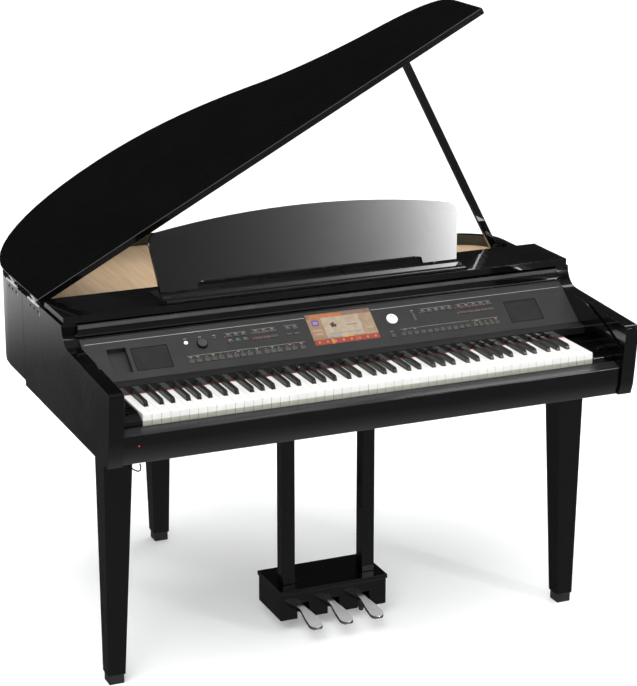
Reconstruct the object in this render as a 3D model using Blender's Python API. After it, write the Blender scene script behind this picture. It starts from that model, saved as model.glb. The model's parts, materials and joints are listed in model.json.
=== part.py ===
"""Digital grand piano: case with curved rim, opened lid on a prop, 88 keys,
sliding key cover, sloped control panel, music rest, three legs and a pedal lyre.

Metres, +Z up, +X to the treble side, the player sits on the -Y side.
Heights are above the floor. Inside this script X runs from the middle of the
keyboard and Y from the front of the white keys; one empty then moves the
whole piano so that the origin lies under the middle of its bounding box.
"""
import math

import bmesh
import bpy
from mathutils import Matrix, Vector

# Clearances
GAP = 0.0003            # between pieces that touch
RUN = 0.0008            # between pieces that slide past each other
PIN_PLAY = 0.0003       # radial play of a pin in its eye

# Keyboard
KEY_PITCH = 0.0236
WHITE_KEYS = 52
KEY_SLIT = 0.0009       # between two white keys
KEY_TOP = 0.768         # playing height
KEY_DEPTH = 0.030       # height of a white key's front
WHITE_LENGTH = 0.1483   # part of a white key in front of the felt
KEY_TAIL = 0.225        # rear end of the key bodies
KEY_ROOT = 0.196        # where a section's keys join its carrier
KEY_PIVOT_Y = 0.188
BLACK_FRONT = 0.053
BLACK_WIDTH = 0.0110
BLACK_RISE = 0.0122     # of a black key's cap above the whites
BLACK_CAP_END = 0.1465
BLACK_PLAY = 0.0009     # beside a black key
BLACK_NOSE_PLAY = 0.0025  # in front of it, for its swing
SHARP_SHIFT = {"C": -0.0028, "D": 0.0028, "F": -0.0045, "G": 0.0, "A": 0.0045}
CARRIER_RISE = 0.0032   # of the black keys' carrier above the white tails
CARRIER_THICK = 0.0055

# Case
SIDE_X = 0.714          # outer face of the sides
SIDE_THICK = 0.038
BODY_BOTTOM = 0.654     # under the front part of the case
CASE_TOP = 0.914        # under the top board
RIM_TOP = 0.908
RIM_BOTTOM = 0.668
RIM_THICK = 0.025
SIDE_REAR = 0.657       # rear end of the straight sides
ARM_FRONT_TOP = (-0.057, 0.833)
ARM_FRONT_BOTTOM = (-0.040, 0.683)
ARM_TOE = (-0.030, 0.654)
ARM_NOSE = (-0.042, 0.8455)
ARM_SLOPE = 3.2         # degrees, of the arm's upper edge
SWEEP_R = 0.050         # concave curve from the arm up to the top board
BED_THICK = 0.024
BED_REAR = 0.450
SLIP_FRONT_TOP = (-0.036, 0.730)
SLIP_FRONT_BOTTOM = (-0.032, 0.683)
SLIP_TOE = -0.020
SLIP_REAR = (-0.003, 0.740)
BOTTOM_THICK = 0.012

# Top board, music rest
TOP_X = 0.708
TOP_FRONT = 0.312
TOP_THICK = 0.0183
LID_FRONT = 0.4903
RECESS_FRONT_Y = 0.322
RECESS_FLOOR = 0.9206
RAIL_FRONT = 0.470
RAIL_REAR = 0.5550
SOUNDBOARD_TOP = 0.879
SOUNDBOARD_THICK = 0.006
REST_LEAN = 15.0        # degrees, backward
REST_FRONT_Y = 0.402    # lower front edge of the music rest
REST_BOTTOM_Z = 0.9405
REST_THICK = 0.012
REST_HALF_BOTTOM = 0.421
REST_HALF_TOP = 0.438
RECESS_FRONT_X = REST_HALF_BOTTOM + 0.011
RECESS_REAR_X = REST_HALF_BOTTOM + 0.135
LEDGE_HALF = REST_HALF_BOTTOM + 0.003
LEDGE_FRONT = 0.345
LEDGE_LIP = 0.400       # rear of its raised front lip
LEDGE_REAR = 0.486
LEDGE_STEP = 0.0121
LEDGE_RISE = 0.0166
REST_CORNER = 0.151     # height of its upper corners
REST_CORNER_R = 0.032
REST_HEIGHT = 0.1885
REST_FOOT = 0.100       # width of its two feet
REST_NOTCH = 0.020      # height of the gap between the feet
REST_LIFT = 0.002       # lower edge above the hinge axis, along the board
REST_EYE_X = REST_HALF_BOTTOM - 0.071
REST_EYE_DEPTH = 0.007  # hinge axis behind the rest's back
REST_EYE_R = 0.0055
REST_PIN_R = 0.0025
STAY_HALF = 0.120
STAY_WIRE_R = 0.0022
STAY_UP = 0.077         # its pivot above the rest's hinge axis
STAY_FOOT_Y = 0.478

# Lid
LID_ANGLE = 28.0        # degrees, as it stands on the prop
LID_THICK = 0.018
LID_BOTTOM = 0.9146
LID_LEFT = -0.7115
LID_RIGHT = 0.7035
LID_TAIL_X = -0.288
LID_TAIL_Y = 1.135
LID_INSET = 0.006       # of the rim behind the lid's edge
HINGE_X = -0.7176
HINGE_R = 0.003
HINGE_PIN_R = 0.0016
HINGE_LONG = 0.090
HINGE_YS = (0.497, 0.697)
LEAF_THICK = 0.0012
LEAF_DROP = 0.027
LEAF_RISE = 0.015

# Lid prop
PROP_FOOT = (0.6594, 0.640, 0.893)
PROP_LEAN = 27.43       # degrees to the left
PROP_HALF_X = 0.010
PROP_HALF_Y = 0.007
PROP_PIN_R = 0.003
SHORT_UP = 0.160        # pivot of the short prop along the long one
SHORT_LONG = 0.440
SHORT_HALF_X = 0.008
SHORT_THICK = 0.008

# Key cover, which runs in curved grooves of the sides
COVER_TOP = 0.8854      # highest point of the arc it follows
COVER_R = 0.800
COVER_AXIS = (0.3534, COVER_TOP - COVER_R)
COVER_THICK = 0.008
COVER_FRONT = -3.54     # degrees from the top of its arc
COVER_SPAN = 25.5
COVER_TRAVEL = 24.8
COVER_LIP_SPAN = 0.85
COVER_LIP_RISE = 0.023
GROOVE_DEPTH = 0.005

# Control panel
PANEL_FOOT = (0.181, 0.795)
PANEL_SLOPE = 37.16     # degrees
PANEL_LENGTH = 0.136
PANEL_THICK = 0.003
PANEL_REAR = (0.300, 0.8782)
SCREEN_X = (-0.076, 0.106)
SCREEN_U = (0.030, 0.128)
GRILLE_XS = (-0.5085, 0.5335)
GRILLE_SIZE = (0.096, 0.070)
GRILLE_U = 0.058
POCKET_X = (-0.617, -0.567)
POCKET_U = (0.022, 0.098)
POCKET_DEPTH = 0.016
POWER_AT = (-0.410, 0.089)
POWER_R = 0.0055
VOLUME_AT = (-0.370, 0.080)
VOLUME_R = 0.0145
DATA_AT = (0.156, 0.082)
DATA_R = 0.0155
DIAL_SHAFT_R = 0.003
BUTTON_RISE = 0.0016
BUTTON_TRAVEL = 0.0012
MAT_THICK = 0.0017
BOARD_THICK = 0.0016
ROW_LOW = 0.031
ROW_MID = 0.076
ROW_HIGH = 0.093
# Rows of buttons: first x, pitch, count, height on the slope, width, length
LEFT_ROWS = [
    (-0.411, 0.0190, 2, ROW_LOW, 0.0145, 0.011),
    (-0.370, 0.0185, 3, ROW_LOW, 0.0145, 0.011),
    (-0.311, 0.0184, 4, ROW_LOW, 0.0145, 0.011),
    (-0.234, 0.0184, 1, ROW_LOW, 0.0145, 0.011),
    (-0.210, 0.0175, 3, ROW_LOW, 0.0145, 0.011),
    (-0.153, 0.0190, 2, ROW_LOW, 0.0145, 0.011),
    (-0.112, 0.0190, 1, ROW_LOW, 0.0145, 0.011),
    (-0.332, 0.0190, 1, ROW_HIGH, 0.0070, 0.007),
    (-0.294, 0.0205, 3, ROW_HIGH, 0.0145, 0.006),
    (-0.294, 0.0205, 3, ROW_MID, 0.0145, 0.006),
    (-0.220, 0.0225, 3, ROW_HIGH, 0.0180, 0.008),
    (-0.220, 0.0225, 3, ROW_MID, 0.0180, 0.008),
    (-0.132, 0.0200, 2, ROW_HIGH, 0.0140, 0.006),
    (-0.134, 0.0200, 2, ROW_MID, 0.0140, 0.006),
]
RIGHT_ROWS = [
    (0.142, 0.0170, 1, ROW_LOW, 0.0115, 0.011),
    (0.172, 0.0165, 2, ROW_LOW, 0.0115, 0.011),
    (0.208, 0.0165, 1, ROW_LOW, 0.0115, 0.011),
    (0.229, 0.0184, 8, ROW_LOW, 0.0130, 0.011),
    (0.380, 0.0160, 5, ROW_LOW, 0.0115, 0.011),
    (0.220, 0.0200, 1, 0.0800, 0.0080, 0.025),
    (0.250, 0.0195, 5, ROW_HIGH, 0.0130, 0.006),
    (0.357, 0.0213, 5, ROW_HIGH, 0.0165, 0.007),
    (0.357, 0.0213, 5, ROW_MID, 0.0165, 0.007),
]
LEFT_MAT = (-0.425, -0.098, 0.022, 0.102)
RIGHT_MAT = (0.133, 0.453, 0.022, 0.102)
BOARD_X = (-0.446, 0.470)

# Legs and pedal lyre
LEG_TOP = 0.076
LEG_END = 0.046
LEG_FOOT = 0.040
LEG_FOOT_HEIGHT = 0.025
FRONT_LEG_X = 0.670     # outer face at the top
FRONT_LEG_Y = 0.134     # front face at the top
REAR_LEG = (-0.2226, 1.0305)
BOX_X = 0.1536
BOX_Y = (0.2604, 0.4152)
BOX_Z = (0.041, 0.1147)
BOX_WALL = 0.012
BOX_FLOOR = 0.006
CAP_THICK = 0.0118
CAP_OVERHANG = 0.003
POST_X = 0.1154
POST_Y = 0.314
POST_SIZE = (0.036, 0.038)
PEDAL_PITCH = 0.088
PEDAL_NECK = 0.020
PEDAL_TIP_R = 0.019
PEDAL_TIP_Y = 0.180
PEDAL_TOP = 0.0675
PEDAL_THICK = 0.010
PEDAL_AXIS = (0.372, 0.0625)
AXLE_R = 0.004
SLOT_HALF = 0.0170
SLOT_TOP = 0.086
ADJUSTER_AT = (0.1125, 0.330)
ADJUSTER_R = 0.010
STUD_R = 0.0050

NOTES = "ABCDEFG"
X, Y, Z = "X", "Y", "Z"


# Geometry helpers

def sin_deg(angle):
    return math.sin(math.radians(angle))


def cos_deg(angle):
    return math.cos(math.radians(angle))


def arc(centre, radius, start, end, steps):
    """Points of an arc, angles in degrees from the first axis."""
    turn = (end - start) / steps
    return [(centre[0] + radius * cos_deg(start + turn * i),
             centre[1] + radius * sin_deg(start + turn * i)) for i in range(steps + 1)]


def bezier(p0, p1, p2, p3, steps):
    """Points of a cubic curve without its last one."""
    points = []
    for i in range(steps):
        t = i / steps
        s = 1 - t
        points.append(tuple(s ** 3 * a + 3 * s * s * t * b + 3 * s * t * t * c + t ** 3 * d
                            for a, b, c, d in zip(p0, p1, p2, p3)))
    return points


def offset_curve(points, distance):
    """An open run of points moved sideways, to the left of its direction."""
    moved = []
    for i, point in enumerate(points):
        before = Vector(points[max(i - 1, 0)])
        after = Vector(points[min(i + 1, len(points) - 1)])
        along = (after - before).normalized()
        moved.append((point[0] - along.y * distance, point[1] + along.x * distance))
    return moved


def to_3d(point, axis, height):
    a, b = point
    return {X: (height, a, b), Y: (a, height, b), Z: (a, b, height)}[axis]


def clean_faces(bm):
    bmesh.ops.recalc_face_normals(bm, faces=bm.faces)


def add_prism(bm, outline, axis, low, high):
    """A straight prism; the outline lies in the two other axes, in XYZ order."""
    bottom = [bm.verts.new(to_3d(p, axis, low)) for p in outline]
    top = [bm.verts.new(to_3d(p, axis, high)) for p in outline]
    bm.faces.new(bottom)
    bm.faces.new(top)
    for i in range(len(outline)):
        j = (i + 1) % len(outline)
        bm.faces.new((bottom[i], bottom[j], top[j], top[i]))


def add_box(bm, x, y, z):
    add_prism(bm, [(x[0], y[0]), (x[1], y[0]), (x[1], y[1]), (x[0], y[1])], Z, z[0], z[1])


def add_cylinder(bm, centre, radius, axis, low, high, steps=16):
    add_prism(bm, arc(centre, radius, 0, 360 - 360 / steps, steps - 1), axis, low, high)


def add_loft(bm, sections):
    """A solid through closed rings with the same number of points."""
    rings = [[bm.verts.new(p) for p in ring] for ring in sections]
    count = len(rings[0])
    bm.faces.new(rings[0])
    bm.faces.new(rings[-1])
    for lower, upper in zip(rings, rings[1:]):
        for i in range(count):
            j = (i + 1) % count
            bm.faces.new((lower[i], lower[j], upper[j], upper[i]))


def add_turned(bm, profile, steps=24):
    """A solid of revolution about Z from (radius, height) points on one side."""
    rings = []
    for radius, height in profile:
        rings.append([(radius * cos_deg(360 * i / steps), radius * sin_deg(360 * i / steps), height)
                      for i in range(steps)])
    add_loft(bm, rings)


# Scene helpers

def clear_scene():
    for old in list(bpy.data.objects):
        bpy.data.objects.remove(old)


def make_material(name, colour, roughness, metallic=0.0):
    material = bpy.data.materials.new(name)
    material.use_nodes = True
    shader = material.node_tree.nodes["Principled BSDF"]
    shader.inputs["Base Color"].default_value = (*colour, 1.0)
    shader.inputs["Roughness"].default_value = roughness
    shader.inputs["Metallic"].default_value = metallic
    return material


class Piano:
    """Keeps the origin empty, the materials and where each pivot lies."""

    def __init__(self):
        self.root = bpy.data.objects.new("piano", None)
        bpy.context.collection.objects.link(self.root)
        self.root.location = origin_shift()
        self.materials = {
            "ebony": make_material("polished_ebony", (0.006, 0.006, 0.007), 0.08),
            "satin": make_material("satin_black", (0.016, 0.016, 0.017), 0.45),
            "panel": make_material("panel_grey", (0.066, 0.070, 0.066), 0.55),
            "ivory": make_material("key_white", (0.86, 0.86, 0.83), 0.25),
            "black_key": make_material("key_black", (0.012, 0.012, 0.013), 0.35),
            "felt": make_material("crimson_felt", (0.30, 0.012, 0.030), 0.95),
            "spruce": make_material("soundboard_wood", (0.60, 0.40, 0.25), 0.45),
            "chrome": make_material("chrome", (0.80, 0.80, 0.79), 0.12, 1.0),
            "board": make_material("circuit_board", (0.02, 0.12, 0.05), 0.5),
            "glass": make_material("screen_glass", (0.55, 0.33, 0.20), 0.12),
            "white": make_material("white_plastic", (0.80, 0.80, 0.78), 0.3),
            "wood": make_material("key_frame_wood", (0.45, 0.32, 0.19), 0.6),
            "steel": make_material("coated_steel", (0.25, 0.25, 0.26), 0.4, 1.0),
            "cone": make_material("speaker_cone", (0.03, 0.03, 0.03), 0.8),
        }

    def add(self, name, bm, material, pivot=(0, 0, 0), parent=None, rotation=(0, 0, 0)):
        """An object whose mesh is given about its pivot."""
        clean_faces(bm)
        mesh = bpy.data.meshes.new(name)
        bm.to_mesh(mesh)
        bm.free()
        mesh.materials.append(self.materials[material])
        part = bpy.data.objects.new(name, mesh)
        bpy.context.collection.objects.link(part)
        part.parent = parent or self.root
        part.location = pivot
        part.rotation_euler = rotation
        return part

    def modify(self, part, bm, operation):
        """A live Boolean with a tool that is given in the part's own axes."""
        clean_faces(bm)
        mesh = bpy.data.meshes.new(part.name + "_tool")
        bm.to_mesh(mesh)
        bm.free()
        tool = bpy.data.objects.new(mesh.name, mesh)
        bpy.context.collection.objects.link(tool)
        tool.parent = part
        tool.hide_render = True
        tool.display_type = "WIRE"
        change = part.modifiers.new(operation.lower(), "BOOLEAN")
        change.operation = operation
        change.solver = "EXACT"
        change.object = tool

    def cut(self, part, bm):
        self.modify(part, bm, "DIFFERENCE")

    def join(self, part, bm):
        self.modify(part, bm, "UNION")


def origin_shift():
    """Moves the middle of the bounding box over the origin."""
    lid_corner = (HINGE_X + (LID_LEFT - HINGE_X) * cos_deg(LID_ANGLE)
                  - LID_THICK * sin_deg(LID_ANGLE))
    return (-(SIDE_X + lid_corner) / 2, -(LID_TAIL_Y + ARM_FRONT_TOP[0]) / 2, 0)


# Plan outlines

def tail_curve(inset, left):
    """Rear outline in plan, from the treble side round the tail to the bass side.

    It is the lid's own outline, or lies `inset` inside it; `left` is where
    the straight bass side runs.
    """
    right = LID_RIGHT - inset
    tail = (LID_TAIL_X, LID_TAIL_Y - inset)
    bend = Vector((0.190, 0.942))
    bend_way = Vector((0.796, -0.605))
    waist = Vector((0.510, 0.8015))
    waist_way = Vector((0.973, -0.230))
    bend -= Vector((0.605, 0.796)) * inset
    waist -= Vector((0.230, 0.973)) * inset
    treble = (right, SIDE_REAR + GAP)
    bass = (left, 0.800)
    points = bezier(treble, (right, SIDE_REAR + 0.078), tuple(waist + waist_way * 0.120), tuple(waist), 10)
    points += bezier(tuple(waist), tuple(waist - waist_way * 0.120), tuple(bend + bend_way * 0.100),
                     tuple(bend), 8)
    points += bezier(tuple(bend), tuple(bend - bend_way * 0.170), (tail[0] + 0.200, tail[1]), tail, 10)
    points += bezier(tail, (tail[0] - 0.250, tail[1]), (left, 1.005), bass, 12)
    points.append(bass)
    return points


def rim_curve(depth):
    """The rim's outer face in plan, or a line `depth` inside it, with square ends."""
    outer = tail_curve(LID_INSET, -SIDE_X) + [(-SIDE_X, SIDE_REAR + GAP)]
    curve = offset_curve(outer, depth)
    curve[0] = (LID_RIGHT - LID_INSET - depth, SIDE_REAR + GAP)
    curve[-1] = (-SIDE_X + depth, SIDE_REAR + GAP)
    return curve


def floor_outline(front):
    """Inside of the case in plan, for the boards that lie in it."""
    inner = SIDE_X - SIDE_THICK - GAP
    return [(-inner, front), (inner, front), (inner, SIDE_REAR), *rim_curve(RIM_THICK + GAP),
            (-inner, SIDE_REAR)]


# Case

def side_profile():
    """Side panel with its arm, as (y, z)."""
    rise = math.tan(math.radians(ARM_SLOPE))
    sweep_x = TOP_FRONT - SWEEP_R
    sweep_z = ARM_NOSE[1] + (sweep_x - ARM_NOSE[0]) * rise + SWEEP_R
    points = [ARM_TOE, ARM_FRONT_BOTTOM, ARM_FRONT_TOP]
    brow = (ARM_FRONT_TOP[0] - 0.001, ARM_FRONT_TOP[1] + 0.008)
    cheek = (ARM_NOSE[0] - 0.010, ARM_NOSE[1] - 0.0005)
    points += bezier(ARM_FRONT_TOP, brow, cheek, ARM_NOSE, 3)[1:]
    points.append(ARM_NOSE)
    points += arc((sweep_x, sweep_z), SWEEP_R, -90 + ARM_SLOPE, 0, 8)
    points += [(TOP_FRONT, CASE_TOP), (LID_FRONT, CASE_TOP), (LID_FRONT, RIM_TOP),
               (SIDE_REAR, RIM_TOP), (SIDE_REAR, BODY_BOTTOM)]
    return points


def groove_outline():
    """Band that the key cover's edge runs in, as (y, z)."""
    half = COVER_THICK / 2 + RUN
    start = 90 - (COVER_FRONT - COVER_TRAVEL - 1.2)
    end = 90 - (COVER_FRONT + COVER_SPAN + 4.0)
    outer = arc(COVER_AXIS, COVER_R + half, start, end, 28)
    inner = arc(COVER_AXIS, COVER_R - half, end, start, 28)
    return outer + inner


def build_case(piano):
    inner = SIDE_X - SIDE_THICK
    for name, sign in (("left_side_panel", -1), ("right_side_panel", 1)):
        bm = bmesh.new()
        add_prism(bm, side_profile(), X, *sorted((sign * inner, sign * SIDE_X)))
        side = piano.add(name, bm, "ebony")
        bm = bmesh.new()
        add_prism(bm, groove_outline(), X, *sorted((sign * (inner - 0.002), sign * (inner + GROOVE_DEPTH))))
        piano.cut(side, bm)
        if sign > 0:
            # The treble side steps in to the line of the bentside behind the top board
            bm = bmesh.new()
            add_box(bm, (LID_RIGHT - LID_INSET, SIDE_X + 0.01), (LID_FRONT, SIDE_REAR + 0.01),
                    (BODY_BOTTOM - 0.01, CASE_TOP + 0.01))
            piano.cut(side, bm)

    bm = bmesh.new()
    add_prism(bm, rim_curve(0) + rim_curve(RIM_THICK)[::-1], Z, RIM_BOTTOM, RIM_TOP)
    piano.add("rim", bm, "ebony")

    bm = bmesh.new()
    add_box(bm, (-inner + GAP, inner - GAP), (SLIP_REAR[0] + GAP, BED_REAR),
            (BODY_BOTTOM, BODY_BOTTOM + BED_THICK))
    piano.add("key_bed", bm, "satin")

    bm = bmesh.new()
    add_prism(bm, floor_outline(BED_REAR + GAP), Z, RIM_BOTTOM, RIM_BOTTOM + BOTTOM_THICK)
    bottom = piano.add("bottom_board", bm, "satin")
    bm = bmesh.new()
    for x in (-0.36, 0.36):
        add_cylinder(bm, (x, 0.585), 0.060, Z, RIM_BOTTOM - 0.01, RIM_BOTTOM + 0.03, 24)
    piano.cut(bottom, bm)

    bm = bmesh.new()
    add_prism(bm, [(SLIP_TOE, BODY_BOTTOM), SLIP_FRONT_BOTTOM, SLIP_FRONT_TOP, SLIP_REAR,
                   (SLIP_REAR[0], BODY_BOTTOM)], X, -inner + GAP, inner - GAP)
    piano.add("key_slip", bm, "ebony")

    key_edge = WHITE_KEYS * KEY_PITCH / 2 + 0.0007
    bed_top = BODY_BOTTOM + BED_THICK + GAP
    block = [(0.0, bed_top), (0.0, 0.7520), (0.010, 0.7580), (0.035, KEY_TOP - 0.002),
             (WHITE_LENGTH - 0.001, KEY_TOP - 0.002), (WHITE_LENGTH - 0.001, bed_top)]
    for name, sign in (("left_key_block", -1), ("right_key_block", 1)):
        bm = bmesh.new()
        add_prism(bm, block, X, *sorted((sign * key_edge, sign * (inner - GAP))))
        piano.add(name, bm, "ebony")

    bm = bmesh.new()
    add_prism(bm, floor_outline(RAIL_REAR + GAP), Z, SOUNDBOARD_TOP - SOUNDBOARD_THICK, SOUNDBOARD_TOP)
    piano.add("soundboard", bm, "spruce")


def build_top_board(piano):
    """Fixed board in front of the lid, with the recess that the music rest stands in."""
    inner = SIDE_X - SIDE_THICK - GAP
    low = CASE_TOP + GAP
    bm = bmesh.new()
    add_box(bm, (-TOP_X, TOP_X), (TOP_FRONT, LID_FRONT - GAP), (low, low + TOP_THICK))
    board = piano.add("top_board", bm, "ebony")
    bm = bmesh.new()
    foot = RAIL_REAR - 0.0077
    rail = [(RAIL_FRONT, low + 0.002), (RAIL_FRONT, 0.8820), (foot, 0.8820), (foot, 0.8748),
            (RAIL_REAR, 0.8748), (RAIL_REAR, CASE_TOP - 0.0005), (LID_FRONT - 0.003, CASE_TOP - 0.0005),
            (LID_FRONT - 0.003, low + 0.002)]
    add_prism(bm, rail, X, -inner, inner)
    piano.join(board, bm)
    bm = bmesh.new()
    recess = [(-RECESS_FRONT_X, RECESS_FRONT_Y), (RECESS_FRONT_X, RECESS_FRONT_Y),
              (RECESS_REAR_X, LID_FRONT + 0.01), (-RECESS_REAR_X, LID_FRONT + 0.01)]
    add_prism(bm, recess, Z, RECESS_FLOOR, low + TOP_THICK + 0.01)
    piano.cut(board, bm)


# Keys

def white_note(index):
    return NOTES[index % 7]


def black_centre(index):
    """Centre of the black key right of white key `index`, or None."""
    note = white_note(index)
    if note not in SHARP_SHIFT:
        return None
    return (index + 1 - WHITE_KEYS / 2) * KEY_PITCH + SHARP_SHIFT[note]


def white_outline(first, last):
    """Plan of the white keys from first to last, joined by their carrier."""
    notch = BLACK_WIDTH / 2 + BLACK_PLAY
    notch_y = BLACK_FRONT - BLACK_NOSE_PLAY
    points = []
    for index in range(first, last + 1):
        left = (index - WHITE_KEYS / 2) * KEY_PITCH + KEY_SLIT / 2
        right = left + KEY_PITCH - KEY_SLIT
        left_root = KEY_TAIL if index == first else KEY_ROOT
        right_root = KEY_TAIL if index == last else KEY_ROOT
        black = black_centre(index - 1) if index > 0 else None
        if black is not None:
            points += [(black + notch, left_root), (black + notch, notch_y), (left, notch_y)]
        else:
            points.append((left, left_root))
        points += [(left, 0.0), (right, 0.0)]
        black = black_centre(index) if index < WHITE_KEYS - 1 else None
        if black is not None:
            points += [(right, notch_y), (black - notch, notch_y), (black - notch, right_root)]
        else:
            points.append((right, right_root))
    return points


def black_outline(indices):
    """Plan of black keys that share a carrier behind them."""
    carrier_y = KEY_ROOT + 0.006
    half = BLACK_WIDTH / 2
    centres = [black_centre(i) for i in indices]
    points = []
    for i, centre in enumerate(centres):
        left_root = KEY_TAIL if i == 0 else carrier_y
        right_root = KEY_TAIL if i == len(centres) - 1 else carrier_y
        points += [(centre - half, left_root), (centre - half, BLACK_FRONT), (centre + half, BLACK_FRONT),
                   (centre + half, right_root)]
    return points


def keys_between(piano, name, outline, profile, material, width):
    """Keys as the part that a plan and a side profile have in common."""
    pivot_z = KEY_TOP - KEY_DEPTH - GAP
    local = [(x, y - KEY_PIVOT_Y) for x, y in outline]
    bm = bmesh.new()
    add_prism(bm, local, Z, -0.01, KEY_DEPTH + 0.03)
    keys = piano.add(name, bm, material, (0, KEY_PIVOT_Y, pivot_z))
    bm = bmesh.new()
    add_prism(bm, [(y - KEY_PIVOT_Y, z - pivot_z) for y, z in profile], X, -width, width)
    piano.modify(keys, bm, "INTERSECT")
    return keys


def build_keys(piano):
    low = KEY_TOP - KEY_DEPTH
    white_profile = [(0.0, low), (KEY_TAIL, low), (KEY_TAIL, KEY_TOP), (0.0015, KEY_TOP),
                     (0.0, KEY_TOP - 0.0015)]
    carrier = KEY_TOP + CARRIER_RISE
    crest = KEY_TOP + BLACK_RISE
    black_profile = [(BLACK_FRONT, low), (0.190, low), (0.190, carrier), (KEY_TAIL, carrier),
                     (KEY_TAIL, carrier + CARRIER_THICK), (0.178, carrier + CARRIER_THICK),
                     (0.178, KEY_TOP - 0.001), (BLACK_CAP_END, KEY_TOP - 0.001), (BLACK_CAP_END, crest),
                     (BLACK_FRONT + 0.009, crest - 0.0006), (BLACK_FRONT + 0.004, crest - 0.004),
                     (BLACK_FRONT, KEY_TOP - 0.001)]
    whole = WHITE_KEYS * KEY_PITCH
    middle_c = 23
    white_sets = {"white_keys_low": (0, middle_c - 1), "middle_c_key": (middle_c, middle_c),
                  "white_keys_high": (middle_c + 1, WHITE_KEYS - 1)}
    for name, (first, last) in white_sets.items():
        keys_between(piano, name, white_outline(first, last), white_profile, "ivory", whole)
    sharps = [i for i in range(WHITE_KEYS - 1) if black_centre(i) is not None]
    black_sets = {"black_keys_low": [i for i in sharps if i < middle_c],
                  "middle_c_sharp_key": [middle_c],
                  "black_keys_high": [i for i in sharps if i > middle_c]}
    for name, indices in black_sets.items():
        keys_between(piano, name, black_outline(indices), black_profile, "black_key", whole)

    # Frame: a tray with a front stop rail and the ridge that the keys rock on
    bed_top = BODY_BOTTOM + BED_THICK + GAP
    ridge = low - GAP
    section = [(0.006, bed_top), (0.236, bed_top), (0.236, bed_top + 0.006), (0.200, bed_top + 0.006),
               (KEY_PIVOT_Y + 0.0015, ridge), (KEY_PIVOT_Y - 0.0015, ridge), (0.176, bed_top + 0.006),
               (0.052, bed_top + 0.006), (0.048, 0.7275), (0.022, 0.7265), (0.018, bed_top + 0.006),
               (0.006, bed_top + 0.006)]
    half = whole / 2
    bm = bmesh.new()
    add_prism(bm, section, X, -half, half)
    piano.add("key_frame", bm, "wood")

    # Glossy strip that rises behind the keys, and the felt on its foot
    inner = SIDE_X - SIDE_THICK - GAP
    foot = (WHITE_LENGTH + 0.0015, KEY_TOP + 0.0040)
    head = (PANEL_FOOT[0] - GAP, PANEL_FOOT[1] - 0.0004)
    bm = bmesh.new()
    add_prism(bm, [foot, head, (head[0], head[1] - 0.005), (foot[0] + 0.004, foot[1] - 0.0008)], X,
              -inner, inner)
    piano.add("key_strip", bm, "ebony")
    bm = bmesh.new()
    add_box(bm, (-half, half), (WHITE_LENGTH, WHITE_LENGTH + 0.004), (KEY_TOP + 0.0006, KEY_TOP + 0.0028))
    piano.add("key_felt", bm, "felt")


# Control panel

def panel_frame():
    """Position and rotation of the panel's own axes: X, up the slope, outward."""
    return (0, PANEL_FOOT[0], PANEL_FOOT[1]), (math.radians(PANEL_SLOPE), 0, 0)


def button_boxes(rows, grow, low, high, bm):
    for first, pitch, count, height, width, length in rows:
        for i in range(count):
            x = first + pitch * i
            add_box(bm, (x - width / 2 - grow, x + width / 2 + grow),
                    (height - length / 2 - grow, height + length / 2 + grow), (low, high))


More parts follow.
